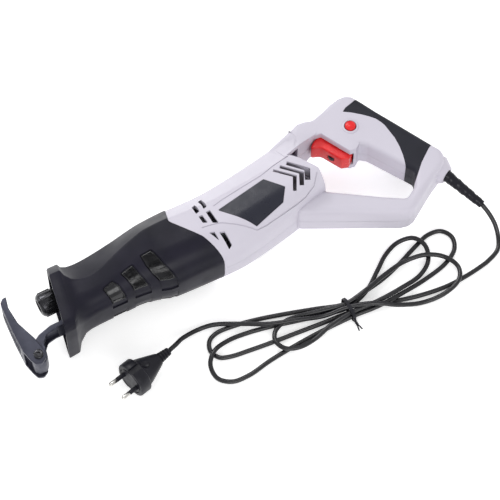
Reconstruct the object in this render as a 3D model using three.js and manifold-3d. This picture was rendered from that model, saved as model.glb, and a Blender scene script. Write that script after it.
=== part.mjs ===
// Reciprocating saw, lying on its right side. Millimetres, +Z up.
// The saw's own frame: +X runs back along the plunger axis from the blade end,
// +Y points to the top of the handle and +Z out of the left side.
import * as THREE from 'three';
import { mergeVertices } from 'three/addons/utils/BufferGeometryUtils.js';
import Module from 'manifold-3d';

const wasm = await Module();
wasm.setup();

// ---------------------------------------------------------------- driving dimensions
const mid = 40;              // height of the parting plane of the two housing halves
const gap = 0.3;             // play between pieces that touch
const wall = 3;              // housing wall
const centre = [192.745, -14.3];   // middle of the saw's length and height, over the origin

const plungerR = 7;
const strokeHalf = 10;       // crank radius, half of the 20 mm stroke
const gearX = 150;           // crank gear axis, across the plunger
const gearTeeth = 40;
const pinionTeeth = 8;
const toothInner = 22;       // crown teeth of the crank gear, inner and outer radius
const toothOuter = 29.5;
const pitchPlane = -15.8;    // height of the crown teeth's pitch plane
const pinionR = 5.2;         // pinion pitch radius
const motorY = pitchPlane + pinionR;

const gripDir = [0.437, -0.9];     // along the grip, towards the tail
const pullDir = [0.9, 0.437];      // the way the trigger goes in
const triggerTravel = 6;
const loopHalf = 18.5;             // half thickness of the handle loop
const cordR = 2.4;

// ---------------------------------------------------------------- materials
const paint = (color, roughness, metalness = 0) =>
  new THREE.MeshStandardMaterial({ color, roughness, metalness });
const shellGrey = paint(0xd9d6e2, 0.45);
const rubber = paint(0x1a1a22, 0.6);
const redPlastic = paint(0xd8202a, 0.35);
const blackPlastic = paint(0x222228, 0.4);
const badgeBlack = paint(0x262a3a, 0.35);
const gunmetal = paint(0x50546a, 0.4, 0.8);
const steel = paint(0xb8bac0, 0.3, 1);
const blackSteel = paint(0x24242a, 0.35, 0.9);
const aluminium = paint(0xa9abb0, 0.5, 0.9);
const copper = paint(0xb87333, 0.35, 1);
const laminations = paint(0x6d6f78, 0.5, 0.8);
const brass = paint(0xc9a24a, 0.35, 1);
const nickel = paint(0xc9cacc, 0.25, 1);
const carbon = paint(0x303030, 0.8);
const capacitorCase = paint(0x8a9098, 0.5);

// ---------------------------------------------------------------- solids
function solidOf(geometry) {
  const bare = geometry.index ? geometry.toNonIndexed() : geometry.clone();
  bare.deleteAttribute('normal');
  bare.deleteAttribute('uv');
  const merged = mergeVertices(bare, 1e-4);
  return new wasm.Manifold(new wasm.Mesh({
    numProp: 3,
    vertProperties: new Float32Array(merged.attributes.position.array),
    triVerts: new Uint32Array(merged.index.array),
  }));
}

function geometryOf(solid) {
  const { vertProperties, triVerts } = solid.getMesh();
  const geometry = new THREE.BufferGeometry();
  geometry.setAttribute('position', new THREE.BufferAttribute(vertProperties, 3));
  geometry.setIndex(new THREE.BufferAttribute(triVerts, 1));
  return geometry;
}

const join = (...solids) => solids.reduce((whole, one) => whole.add(one));
const cut = (solid, ...tools) => tools.reduce((left, one) => left.subtract(one), solid);

function block(x0, x1, y0, y1, z0, z1) {
  const geometry = new THREE.BoxGeometry(x1 - x0, y1 - y0, z1 - z0);
  return solidOf(geometry.translate((x0 + x1) / 2, (y0 + y1) / 2, (z0 + z1) / 2));
}

// Turns a geometry made along Y onto an axis and moves it there.
function ontoAxis(geometry, axis, along, [p, q]) {
  if (axis === 'x') geometry.rotateZ(-Math.PI / 2);
  if (axis === 'z') geometry.rotateX(Math.PI / 2);
  const at = { x: [along, p, q], y: [p, along, q], z: [p, q, along] }[axis];
  return solidOf(geometry.translate(...at));
}

// A round bar from a to b along one axis, centred on the other two coordinates.
function bar(axis, radius, a, b, centreAt, sides = 20) {
  const geometry = new THREE.CylinderGeometry(radius, radius, b - a, sides);
  return ontoAxis(geometry, axis, (a + b) / 2, centreAt);
}

// A turned piece: [radius, distance along the axis] pairs, from the axis back to the axis.
function turned(axis, profile, centreAt, sides = 20) {
  const points = profile.map(([radius, along]) => new THREE.Vector2(radius, along));
  return ontoAxis(new THREE.LatheGeometry(points, sides), axis, 0, centreAt);
}

function ring(axis, outer, inner, a, b, centreAt, sides = 20) {
  return cut(bar(axis, outer, a, b, centreAt, sides), bar(axis, inner, a - 1, b + 1, centreAt, sides));
}

function outline(points) {
  return new THREE.Shape(points.map(([x, y]) => new THREE.Vector2(x, y)));
}

// A plate of an X-Y outline between two heights.
function plate(points, z0, z1) {
  const geometry = new THREE.ExtrudeGeometry(outline(points), { depth: z1 - z0, bevelEnabled: false });
  return solidOf(geometry.translate(0, 0, z0));
}

// The same outline grown by a margin, for the space that a piece moves in.
function grownPlate(points, margin, z0, z1) {
  const geometry = new THREE.ExtrudeGeometry(outline(points), {
    depth: z1 - z0 - 0.02, bevelThickness: 0.01, bevelSize: margin, bevelSegments: 1,
  });
  return solidOf(geometry.translate(0, 0, z0 + 0.01));
}

const leftSide = block(-100, 600, -200, 200, mid + 0.15, 200);
const rightSide = block(-100, 600, -200, 200, -100, mid - 0.15);
const mirrored = (points) => points.map(([y, z]) => [y, -z]).reverse();

// ---------------------------------------------------------------- body and boot sections
// One station of the long body: its place, lean, top, bottom, half width, top chamfer
// along Y and Z, and the radius of its lower corners.
function sectionPoints([, , top, bottom, half, chamferY, chamferZ, radius], inset) {
  const t = top - inset;
  const b = bottom + inset;
  const h = half - inset;
  const r = Math.max(radius - inset, 1);
  const upper = [
    [t, 0],
    [t, h - chamferZ],
    [t - chamferY, h],
  ];
  const corner = [0, 30, 60, 90].map((degrees) => {
    const angle = THREE.MathUtils.degToRad(degrees);
    return [b + r - r * Math.sin(angle), h - r + r * Math.cos(angle)];
  });
  const side = [...upper, ...corner, [b, 0]];
  return [...side, ...mirrored(side.slice(1, -1))];
}

// A closed skin over a row of stations, made from a many-sided cylinder.
function lofted(stations, inset = 0) {
  const rings = stations.map((station) => sectionPoints(station, inset));
  const around = rings[0].length;
  const geometry = new THREE.CylinderGeometry(1, 1, 1, around, stations.length - 1);
  const position = geometry.attributes.position;
  for (let i = 0; i < position.count; i += 1) {
    const u = Math.atan2(position.getX(i), position.getZ(i)) / (2 * Math.PI);
    const onAxis = Math.hypot(position.getX(i), position.getZ(i)) < 0.5;
    const row = Math.round((0.5 + position.getY(i)) * (stations.length - 1));
    const [x, lean, top, bottom] = stations[row];
    const k = Math.round((u + 1) * around) % around;
    const [y, z] = onAxis ? [(top + bottom) / 2, 0] : rings[row][k];
    position.setXYZ(i, x + lean * (y + 14), y, mid + z);
  }
  return solidOf(geometry);
}

const bodyStations = [
  [132, 0, 29.2, -48.6, 39.6, 21, 23, 30],
  [176, 0, 29.2, -50.2, 40, 24, 26, 30],
  [200, 0, 30.5, -49.6, 40, 25, 26, 30],
  [250, 0, 37.5, -40, 40, 28, 26, 26],
  [282, 0, 42.5, -31.5, 40, 30, 25, 22],
  [299, 0, 42.5, -28.5, 40, 30, 25, 20],
];
const bootStations = [
  [5, 0.2, 24, -52, 36, 15, 15, 22],
  [17, 0.2, 24, -51, 35.5, 15, 15, 22],
  [26, 0.15, 20.2, -42, 31, 16, 16, 26],
  [40, 0.08, 20.2, -39.5, 30, 17, 17, 28],
  [62, 0, 21.6, -39.8, 31.2, 17, 18, 28],
  [84, 0, 24, -40.8, 33.6, 17, 19, 28],
  [103, 0, 26.6, -43.6, 36.2, 18, 20, 29],
  [114, 0, 27.8, -47.4, 38, 19, 21, 30],
  [140, 0, 29.2, -48.8, 39.6, 21, 23, 30],
  [176, 0, 29.2, -50.2, 39.6, 24, 26, 30],
];
// Where the boot ends and the housing starts, from the top edge to the bottom edge.
const bootEdge = [[148, 60], [146.5, 29], [138.5, 5], [158, -26], [171, -60]];

// ---------------------------------------------------------------- handle loop
const loopOutline = [
  [262, 20], [270, 40.5], [300, 50.5], [312, 54.5], [320, 53.6], [328, 51],
  [341, 54.6], [353, 58.8], [363, 61], [371.5, 60.6], [378, 56.5], [384, 44],
  [391, 28.5], [399.5, 11.5], [410.5, -11], [420.5, -31.5], [425.5, -41], [426, -47],
  [421.5, -56.5], [412, -62.5], [402, -67.5],
  [392, -73.5], [378, -82.5], [369, -88], [362, -89.6], [354, -87.6],
  [326.6, -73], [291, -54], [262, -38.5],
];
const handHole = [
  [279, 16.5], [303, 27.5], [322, 33.5], [331, 33], [347, 1.5], [356.5, 1.5],
  [362.5, -3.5], [369.8, -16], [378.6, -31.6], [384.5, -41.6], [390, -51.5],
  [381, -66], [367.5, -74.5], [345, -60], [299, -28], [298.5, -12.6], [288, 6],
];

// The loop as a plate with rounded edges, shrunk all round by an inset.
function loop(inset, half = loopHalf) {
  const shape = outline(loopOutline);
  shape.holes.push(new THREE.Path(handHole.map(([x, y]) => new THREE.Vector2(x, y)).reverse()));
  const round = Math.min(6, 5.8 - inset);   // the strut is too thin for more
  const h = half - inset;
  const geometry = new THREE.ExtrudeGeometry(shape, {
    depth: 2 * (h - round),
    bevelThickness: round,
    bevelSize: round,
    bevelOffset: -round - inset,
    bevelSegments: 2,
  });
  return solidOf(geometry.translate(0, 0, mid - h + round));
}

// The tail's neck, a short cone round the cord's way out.
const cordExit = new THREE.Vector3(421.5, -64, mid);
const cordWay = new THREE.Vector3(18.3, -40.2, -12).normalize();
function alongCord(profile, from, way, sides = 16) {
  const points = profile.map(([radius, along]) => new THREE.Vector2(radius, along));
  const geometry = new THREE.LatheGeometry(points, sides);
  const turn = new THREE.Quaternion().setFromUnitVectors(new THREE.Vector3(0, 1, 0), way);
  geometry.applyQuaternion(turn);
  return solidOf(geometry.translate(from.x, from.y, from.z));
}
const tailWay = new THREE.Vector3(gripDir[0], gripDir[1], 0).normalize();
const neckProfile = [[0, -20], [15.5, -20], [15.5, -9], [9, 0], [0, 0]];
const neckInside = [[0, -21], [11.5, -21], [11.5, -9.5], [6, -3], [0, -3]];
const neck = alongCord(neckProfile, cordExit, tailWay, 20);
const neckHollow = alongCord(neckInside, cordExit, tailWay);

// ---------------------------------------------------------------- openings in the shells
const frontSlots = [
  [[167, 11], [171, 11], [172, 2.5], [168, 2.5]],
  [[176.5, 15], [180.5, 15], [182, 5], [178, 5]],
  [[167, -5], [171, -5], [172.2, -15], [168.2, -13.5]],
  [[176.4, -3], [180.6, -3], [182.4, -19.5], [177.6, -18]],
  [[168, -26.5], [173, -27], [173, -38]],
  [[177.6, -30], [182.6, -31], [182, -48], [177.2, -48.5]],
];
const chevrons = [
  [[257, 6], [274, -12.5], [264, -27]],
  [[264.2, 7.4], [282, -11.6], [272, -25.5]],
  [[271.6, 8.6], [290, -10.6], [280.6, -23.4]],
];
// A bent slot of one width along three corner points.
function bentSlot([a, b, c], width) {
  const down = [0.55 * width, 0.62 * width];
  const shift = ([x, y]) => [x - down[0], y - down[1]];
  const inner = [b[0] - 1.25 * width, b[1] + 0.1 * width];
  return [a, b, c, [c[0] - width, c[1] + 0.35 * width], inner, shift(a)];
}
const badgeOutline = [[188, -8], [244, 1.5], [259, -16], [250, -28.5], [215, -38]];

// Rubber on the grip: behind a curved edge, and right round it near the tail.
const padEdge = [
  [361, 44.5], [372, 34], [384, 24.5], [390, 12], [392.5, -4], [392.5, -18], [390.5, -32],
  [386, -43], [376, -54],
];
const padRegion = [
  ...padEdge, [388, -62], [393, -54], [409, -41], [422, -33], [440, -20], [400, 70], [366, 58],
];

// ---------------------------------------------------------------- trigger and switch
const triggerOutline = [
  [330, 36.5], [318, 31], [311.5, 25.4], [322, 21.5], [333.6, -1], [341, -3.6], [347.6, 1],
  [351.6, 6.4], [339.2, 32.8],
];
const shifted = (points, distance) =>
  points.map(([x, y]) => [x + pullDir[0] * distance, y + pullDir[1] * distance]);
const lockAt = [358, 24.8];
const dialAt = [330.2, 11.6];      // speed dial, let into the trigger's front
const dialR = 4.2;
const dialFront = [
  [dialAt[0] + 4 * gripDir[0], dialAt[1] + 4 * gripDir[1]],
  [dialAt[0] - 4 * gripDir[0], dialAt[1] - 4 * gripDir[1]],
];

// ---------------------------------------------------------------- screws
const screwSpots = [
  [188, 22], [262, 31.5], [190, -42], [262, -31], [306, 41],
  [374, 49], [406, -35], [391, -66], [352, -79], [284, -44],
];
const bossR = 4.2;
const screwHeadUp = 12;            // a screw's head stops this far below the parting plane

function housingHalf(side) {
  const left = side === 'left';
  const keep = left ? leftSide : rightSide;
  const z = (height) => (left ? mid + height : mid - height);
  const span = (a, b) => [Math.min(z(a), z(b)), Math.max(z(a), z(b))];
  const outer = join(lofted(bodyStations), loop(0), neck);
  const body = bodyStations.slice();
  body[0] = [120, ...body[0].slice(1)];
  body[5] = [296, ...body[5].slice(1)];
  const hollow = join(lofted(body, wall), loop(wall), neckHollow);
  const front = plate([...bootEdge.map(([x, y]) => [x + gap, y]), [0, -60], [0, 60]], -10, 90);
  // the rear face slopes under the top bar
  const rearSlope = [[279, 16.4], [288, 6], [299.2, -12.6]];
  const rear = plate([...rearSlope, [340, -12.6], [340, 28.3], [303, 27.3]], -10, 90);
  let half = cut(outer.intersect(keep), hollow, front, rear);
  const rearWall = plate([[272, 19], [281.5, 3.5], [293, -15], ...[...rearSlope].reverse()], 5, 75);
  half = join(half, rearWall.intersect(keep).intersect(lofted(bodyStations, 1)));
  for (const [x, y] of screwSpots) {
    const deep = x > 300 || y < -43.5 ? 16.5 : 30;
    half = join(half, bar('z', bossR, ...span(0.15, deep), [x, y], 12).intersect(outer));
  }
  for (const [x, y] of screwSpots) {
    if (left) half = cut(half, bar('z', 1.5, mid - 1, mid + 10.4, [x, y], 10));
    else {
      half = cut(half, bar('z', 1.5, -10, mid + 1, [x, y], 10));
      half = cut(half, bar('z', 2.9, -10, mid - screwHeadUp, [x, y], 12));
    }
  }
  const wide = span(20, 60);
  for (const slot of frontSlots) half = cut(half, plate(slot, ...wide));
  for (const corner of chevrons) half = cut(half, plate(bentSlot(corner, 3.6), ...wide));
  const badgeBed = grownPlate(badgeOutline, gap, ...span(39, 60));
  half = cut(half, badgeBed);
  // the grip's rubber lies in a bed 1.6 deep
  const bed = cut(loop(-2, loopHalf + 2), loop(1.9)).intersect(grownPlate(padRegion, gap, -10, 90));
  half = cut(half, bed);
  for (const distance of [0, triggerTravel / 2, triggerTravel]) {
    half = cut(half, grownPlate(shifted(triggerOutline, distance), 0.8, mid - 10.7, mid + 10.7));
  }
  if (left) {
    const collar = bar('z', 8.6, mid + 17, mid + 19.3, lockAt);
    half = cut(join(half, collar), bar('z', 6.2, mid, 90, lockAt));
  }
  const relief = alongCord([[0, -9], [7.2, -9], [6.6, 3], [0, 3]], cordExit, cordWay);
  return cut(half, relief);
}

function housingScrew(x, y) {
  const head = mid - screwHeadUp - gap;
  const tip = mid + 9.6;
  const profile = [[0, head - 2.2], [2.5, head - 2.2], [2.5, head], [1.2, head], [1.2, tip], [0, tip]];
  return turned('z', profile, [x, y], 10);
}

function noseBoot() {
  const inside = bootStations.slice();
  inside[0] = [0, ...inside[0].slice(1)];
  inside[9] = [180, ...inside[9].slice(1)];
  const behindEdge = plate([...bootEdge, [220, -60], [220, 60]], -10, 90);
  return cut(lofted(bootStations), lofted(inside, wall), behindEdge);
}

function gripPad(side) {
  const keep = side === 'left' ? leftSide : rightSide;
  const skin = cut(loop(0), loop(1.6)).intersect(keep);
  return skin.intersect(plate(padRegion, -10, 90));
}

function badge(side) {
  const low = side === 'left' ? 2 * mid - 0.7 : 0.1;
  return plate(badgeOutline, low, low + 0.6);
}

function trigger() {
  const dialWell = bar('z', dialR + 0.6, mid - 3, mid + 3, dialAt, 16);
  const wayOut = plate(shifted(dialFront, -9).concat(shifted(dialFront, 0).reverse()), mid - 3, mid + 3);
  return cut(plate(triggerOutline, mid - 10, mid + 10), dialWell, wayOut);
}

function speedDial() {
  return bar('z', dialR, mid - 2.5, mid + 2.5, dialAt, 16);
}

// A box inside the grip, by its place along the grip and across it.
const gripTop = [351, 44];
function inGrip(along, length, across, width, z0, z1) {
  const corner = (u, v) => [0, 1].map((i) => gripTop[i] + gripDir[i] * u + pullDir[i] * v);
  const corners = [
    corner(along, across), corner(along + length, across),
    corner(along + length, across + width), corner(along, across + width),
  ];
  return plate(corners, z0, z1);
}

function switchModule() {
  return inGrip(0, 34, 0, 13, mid - 8.5, mid + 5);
}

function capacitor() {
  return inGrip(44, 17, 2, 10, mid - 8, mid + 4);
}

function lockButton() {
  return turned('z', [[0, mid + 9], [7, mid + 9], [7, mid + 11], [5.6, mid + 11], [5.6, mid + 20.4],
    [4.6, mid + 21.4], [0, mid + 21.4]], lockAt);
}

// ---------------------------------------------------------------- gear case and plunger
const lidY = 3;               // top edge of the tub that holds the crank gear
const noseX = 37;             // front of the nose tube
const chuckX = -9;            // front of the blade holder in mid-stroke
const nose = [0, mid];        // the plunger's axis
const motor = [motorY, mid];  // the motor's axis

function gearCase() {
  const tub = turned('y', [[0, -37], [27, -37], [34, -28], [34, lidY], [0, lidY]], [gearX, mid], 32);
  const room = turned('y', [[0, -28.4], [31.4, -28.4], [31.4, 11], [0, 11]], [gearX, mid], 32);
  const shaftBed = turned('y', [[0, -34], [11.3, -34], [11.3, -28], [0, -28]], [gearX, mid]);
  const tube = bar('x', 14, noseX, 122, nose);
  const bore = bar('x', 10.3, noseX - 1, 124, nose);
  const lip = bar('x', 16.4, noseX, noseX + 7, nose);
  const guide = block(70, 124, -35.4, -13, mid - 10, mid + 10);
  const tongueWay = block(60, 112, -34.7, -28.3, mid - 8.3, mid + 8.3);
  const rear = bar('x', 13.4, 178, 192, motor);
  const rearBore = bar('x', 11.3, 183, 193, motor);
  const pinionWay = bar('x', 6.9, 176, 184, motor);
  const pinionSlot = block(168, 186, motorY, 11, mid - 7, mid + 7).intersect(bar('x', 6.9, 160, 184, motor));
  const whole = join(tub, tube, lip, guide, rear);
  const yokeWay = block(gearX - 22, gearX + 22, -14, 11, mid - 22, mid + 22);
  return cut(whole, room, shaftBed, bore, tongueWay, rearBore, pinionWay, pinionSlot, yokeWay);
}

function gearCover() {
  const low = lidY + gap;
  const dome = turned('y', [[0, low], [34.4, low], [33, 5], [24, 13], [20, 16], [0, 16]], [gearX, mid], 32);
  const under = turned('y', [[0, 0], [31, 0], [29.5, 4.5], [21, 12], [0, 12]], [gearX, mid], 32);
  return cut(dome, under, bar('x', 14 + gap, 100, 130, nose));
}

function plunger() {
  const rod = bar('x', plungerR, chuckX + 23, gearX + 5, nose);
  const yoke = block(gearX - 10, gearX + 10, -14, -4, mid - 20, mid + 20);
  const slot = block(gearX - 5.3, gearX + 5.3, -15, -7.4, mid - 15.4, mid + 15.4);
  return cut(join(rod, yoke), slot);
}

// ---------------------------------------------------------------- blade holder
const collarRibs = 12;
function chuckBody() {
  const x = chuckX;
  const spindle = turned('x', [[0, x + 1], [6.2, x + 1], [6.2, x + 20.4], [11.8, x + 20.4], [12.8, x + 21.4],
    [12.8, x + 31], [11, x + 33], [0, x + 33]], nose);
  const bladeSlot = block(x, x + 17, -4.6, 4.6, mid - 0.8, mid + 0.8);
  const rodBore = bar('x', plungerR + gap, x + 22.7, x + 40, nose);
  return cut(spindle, bladeSlot, rodBore);
}

function releaseCollar() {
  const x = chuckX;
  const profile = [[0, x], [9.5, x], [12, x + 2.2], [12, x + 17], [11, x + 19.6], [0, x + 19.6]];
  let collar = turned('x', profile, nose, 24);
  for (let i = 0; i < collarRibs; i += 1) {
    const rib = block(x + 3.4, x + 16, 11, 12.8, -1.1, 1.1);
    collar = join(collar, rib.rotate([(360 * i) / collarRibs, 0, 0]).translate([0, 0, mid]));
  }
  return cut(collar, bar('x', 6.5, x - 1, x + 21, nose));
}

// ---------------------------------------------------------------- shoe
const pivot = [-34, -54.4];
function shoeArm() {
  const side = [
    [8, -28.5], [-10, -28.7], [-24, -32.5], [-31, -37], [-34, -46.4], [-41.4, -51], [-41.4, -58],
    [-38, -62], [-30, -62], [-26, -57], [-23, -43], [-17, -36.2], [-8, -34.5], [8, -34.5],
  ];
  const fork = plate(side, mid - 11, mid + 11);
  const channel = block(-38, -4, -70, -31.8, mid - 8, mid + 8).intersect(block(-24.5, 9, -60, -31.8, 0, 80));
  const tongue = block(7, 104, -34.5, -28.5, mid - 8, mid + 8);
  const pinBore = bar('z', 3.4, 0, 80, pivot, 16);
  return cut(join(fork, tongue), channel, pinBore);
}

function shoe() {
  const side = [
    [-35, 17.5], [-39, 17], [-42.8, 13.5], [-43.6, 9], [-45.6, -20], [-46, -44], [-43.4, -56],
    [-41, -62.4], [-35.5, -64.6], [-29.6, -61], [-26.6, -53.6], [-29.6, -37], [-37, -14], [-38, 5],
  ];
  const whole = plate(side, mid - 17, mid + 17);
  const between = [
    [-30, 30], [-33, 17], [-39.4, 13.4], [-41.2, 8], [-43.2, -20], [-43.4, -44], [-50, -46], [-50, -70],
    [-20, -70], [-20, 30],
  ];
  const inside = plate(between, mid - 13.6, mid + 13.6);
  const bladeWay = block(-50, -38, -36, 10, mid - 5, mid + 5);
  const pinBore = bar('z', 3.4, 0, 80, pivot, 16);
  return cut(whole, inside, bladeWay, pinBore);
}

function shoePin() {
  const pin = turned('z', [[0, mid - 18.4], [4.6, mid - 18.4], [4.6, mid - 17.3], [3.1, mid - 17.3],
    [3.1, mid + 17.3], [4.8, mid + 17.3], [4.8, mid + 19.2], [0, mid + 19.2]], pivot, 16);
  const socket = bar('z', 2, mid + 18, mid + 21, pivot, 6);
  return cut(pin, socket);
}

// ---------------------------------------------------------------- crank gear and motor
function crankGear() {
  const disc = turned('y', [[0, -27], [9, -27], [9, -24.5], [toothOuter, -24.5], [toothOuter, -17.6],
    [toothInner, -17.6], [toothInner, -21], [0, -21]], [gearX, mid], 40);
  const root = -17.9;
  const tip = -15.1;
  let gear = disc;
  for (let i = 0; i < gearTeeth; i += 1) {
    const pitchHalf = Math.PI / gearTeeth;
    const rootIn = toothInner * pitchHalf * 0.86;
    const tipIn = toothInner * pitchHalf * 0.3;
    const tooth = new THREE.BoxGeometry(toothOuter - toothInner, tip - root, 1);
    const position = tooth.attributes.position;
    for (let k = 0; k < position.count; k += 1) {
      const high = position.getY(k) > 0;
      const half = high ? tipIn : rootIn;
      position.setZ(k, position.getZ(k) > 0 ? half : -half);
    }
    tooth.translate((toothInner + toothOuter) / 2, (root + tip) / 2, 0);
    tooth.rotateY((2 * Math.PI * (i + 0.5)) / gearTeeth);
    gear = gear.add(solidOf(tooth.translate(gearX, 0, mid)));
  }
  const shaftBore = bar('y', 5.3, -30, -18, [gearX, mid]);
  const pinBore = bar('y', 3.3, -24, -18, [gearX, mid + strokeHalf], 16);
  return cut(gear, shaftBore, pinBore);
}

function pinionShaft() {
  const spindle = turned('x', [[0, 173], [3.4, 173], [3.4, 181], [4, 181], [4, 276], [0, 276]], motor);
  let shaft = spindle;
  for (let i = 0; i < pinionTeeth; i += 1) {
    const tooth = new THREE.BoxGeometry(7, 3.4, 1);
    const position = tooth.attributes.position;
    for (let k = 0; k < position.count; k += 1) {
      const high = position.getY(k) > 0;
      const half = high ? 0.42 : 1.12;
      position.setZ(k, position.getZ(k) > 0 ? half : -half);
    }
    tooth.translate(176.5, 2.7 + 1.7, 0);
    tooth.rotateX((2 * Math.PI * i) / pinionTeeth);
    shaft = shaft.add(solidOf(tooth.translate(0, motorY, mid)));
  }
  return shaft;
}

function armatureCore() {
  let core = bar('x', 16.6, 208, 238, motor, 32);
  for (let i = 0; i < 12; i += 1) {
    const slot = block(200, 250, 12, 18, mid - 1.3, mid + 1.3);
    const turn = slot.translate([0, 0, -mid]).rotate([30 * i, 0, 0]).translate([0, motorY, mid]);
    core = cut(core, turn);
  }
  return cut(core, bar('x', 4.3, 200, 250, motor));
}

function fan() {
  let wheel = ring('x', 23, 4.3, 200, 202, motor, 24);
  for (let i = 0; i < 9; i += 1) {
    const blade = block(194.5, 200.5, 9, 22, -0.8, 0.8);
    wheel = join(wheel, blade.rotate([40 * i, 0, 0]).translate([0, motorY, mid]));
  }
  return wheel;
}

function statorCore() {
  const stack = ring('x', 25.2, 17.4, 208, 238, motor, 32);
  return stack.intersect(block(200, 250, -60, 60, mid - 23.4, mid + 23.4));
}

function fieldCoil(direction) {
  const arc = ring('x', 24, 18, 239, 246, motor, 24);
  const [low, high] = direction > 0 ? [4, 44] : [-44, -4];
  return arc.intersect(block(230, 260, motorY + low, motorY + high, 0, 80));
}

function brushHolder(direction) {
  const [low, high] = direction > 0 ? [11.6, 27] : [-27, -11.6];
  const shell = block(251, 259, motorY - 5.5, motorY + 5.5, mid + low, mid + high);
  return cut(shell, block(252.6, 257.4, motorY - 3.4, motorY + 3.4, mid + low - 1, mid + high + 1));
}

function brush(direction) {
  const [low, high] = direction > 0 ? [10.8, 20] : [-20, -10.8];
  return block(252.9, 257.1, motorY - 3.1, motorY + 3.1, mid + low, mid + high);
}

// ---------------------------------------------------------------- cord and plug
function strainRelief() {
  return alongCord([[0, -7], [6.4, -7], [6, 2], [4, 45.5], [0, 45.5]], cordExit, cordWay, 16);
}

// The lead as it comes down from the relief, as far as the hank.
const leadIn = [
  [440, -104.8, 27.8], [443.2, -113.5, 21.4], [445, -124.5, 13], [442.6, -136.4, 4.6],
  [436, -146, 2.7], [421, -152.5, 2.6], [408, -155, 2.6],
];
// The last stretch, from the hank to the plug.
const leadOut = [
  [141, -84.6, 5.6], [125, -81, 3.4], [106, -84, 8], [95.5, -89.4, 13.2], [87.2, -92.6, 15],
];

// A round tube along a smooth line through some points.
function tube(points, radius, sides, steps) {
  const curve = new THREE.CatmullRomCurve3(points.map((p) => new THREE.Vector3(...p)), false, 'centripetal');
  const section = new THREE.Shape();
  for (let i = 0; i < sides; i += 1) {
    const angle = (2 * Math.PI * i) / sides;
    const at = [radius * Math.cos(angle), radius * Math.sin(angle)];
    if (i === 0) section.moveTo(...at);
    else section.lineTo(...at);
  }
  const geometry = new THREE.ExtrudeGeometry(section, { steps, extrudePath: curve, bevelEnabled: false });
  return solidOf(geometry);
}

// The hank: seven strands under one tie, with three open loops on either side of it.
const hankOutline = [
  [268, -123], [240, -113.5], [214, -105], [185, -96.4], [162, -91.2], [139.5, -89.6], [127, -94],
  [121.4, -107], [113.8, -121], [113.8, -138], [126, -150], [146, -151.8], [172, -148], [204, -150.6],
  [222, -149.6], [244, -145], [268, -145.2], [290, -148.6], [312, -157], [337, -164.4], [363, -167],
  [384, -161.4], [392.6, -146], [390, -133.4], [400.6, -125.8], [405.6, -111], [397.6, -97.4],
  [381, -94.4], [366, -92.4], [350, -88], [331, -93.6], [314, -106.6], [292, -121],
];
const hankGaps = [
  [[140, -111], [168, -112], [188, -117], [184, -122], [161, -120], [141, -116.5]],
  [[124, -127.5], [146, -128.5], [181, -132.5], [179, -139], [146, -143.5], [126, -139]],
  [[318, -123], [345, -119], [361, -122.5], [358, -128.5], [345, -132.5], [318, -136]],
  [[377, -104], [392, -104], [398, -111], [394, -122], [386, -125], [377, -117]],
];
const hankTop = 13.8;
const tieX = 268;
function hank() {
  const round = 2.4;
  const geometry = new THREE.ExtrudeGeometry(outline(hankOutline), {
    depth: hankTop - 0.2 - 2 * round,
    bevelThickness: round,
    bevelSize: round,
    bevelOffset: -round,
    bevelSegments: 2,
  });
  const whole = solidOf(geometry.translate(0, 0, 0.2 + round));
  const underTie = block(tieX - 3, tieX + 3, -160, -110, 0, 2.6);
  return cut(whole, underTie, ...hankGaps.map((points) => plate(points, -1, 20)));
}

function cordTie() {
  // a band of eight sides round the strands, its size in Y and Z and its corners
  const band = (y0, y1, z0, z1, corner, x0, x1) => {
    const points = [
      [y0 + corner, z0], [y1 - corner, z0], [y1, z0 + corner], [y1, z1 - corner],
      [y1 - corner, z1], [y0 + corner, z1], [y0, z1 - corner], [y0, z0 + corner],
    ];
    const geometry = new THREE.ExtrudeGeometry(outline(points), { depth: x1 - x0, bevelEnabled: false });
    geometry.rotateX(Math.PI / 2);
    geometry.rotateZ(Math.PI / 2);
    return solidOf(geometry.translate(x0, 0, 0));
  };
  const outside = band(-147, -121.3, 0.1, 14.9, 2, tieX - 2, tieX + 2);
  const inside = band(-146.1, -122.2, 0.9, 14.1, 1.6, tieX - 3, tieX + 3);
  const loopRound = cut(outside, inside);
  const ends = block(tieX - 1.6, tieX + 1.6, -122, -108, 6, 8.6);
  return join(loopRound, ends);
}

const plugTail = new THREE.Vector3(86.5, -93, 15.2);
const plugFace = new THREE.Vector3(37.2, -105.6, 19.3);
const plugWay = plugFace.clone().sub(plugTail).normalize();
const plugLength = plugFace.distanceTo(plugTail);
const pinSide = new THREE.Vector3(plugWay.y, -plugWay.x, 0).normalize();
const pinSpacing = 19;
const pinRoot = (side) => plugFace.clone().addScaledVector(pinSide, (side * pinSpacing) / 2);
function plugBody() {
  const profile = [
    [0, 0.3], [4.2, 0.3], [5.4, 14], [8, 18], [15.5, plugLength - 13], [18.4, plugLength - 11.5],
    [18.4, plugLength - 0.8], [17.6, plugLength], [0, plugLength],
  ];
  const bore = [[0, -6.4], [2.3, -6.4], [2.3, 3], [0, 3]];
  const bores = [1, -1].map((side) => alongCord(bore, pinRoot(side), plugWay, 12));
  return cut(alongCord(profile, plugTail, plugWay, 20), ...bores);
}

function plugPin(side) {
  const profile = [[0, -6], [2, -6], [2, 9.5], [2.4, 9.5], [2.4, 17], [1.4, 19], [0, 19]];
  return alongCord(profile, pinRoot(side), plugWay, 12);
}

// ---------------------------------------------------------------- the whole saw
const saw = new THREE.Group();
saw.position.set(-centre[0], -centre[1], 0);

function place(name, solid, material) {
  const mesh = new THREE.Mesh(geometryOf(solid), material);
  mesh.name = name;
  saw.add(mesh);
}

place('housing_left', housingHalf('left'), shellGrey);
place('housing_right', housingHalf('right'), shellGrey);
place('grip_pad_left', gripPad('left'), rubber);
place('grip_pad_right', gripPad('right'), rubber);
place('badge_plate_left', badge('left'), badgeBlack);
place('badge_plate_right', badge('right'), badgeBlack);

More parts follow.
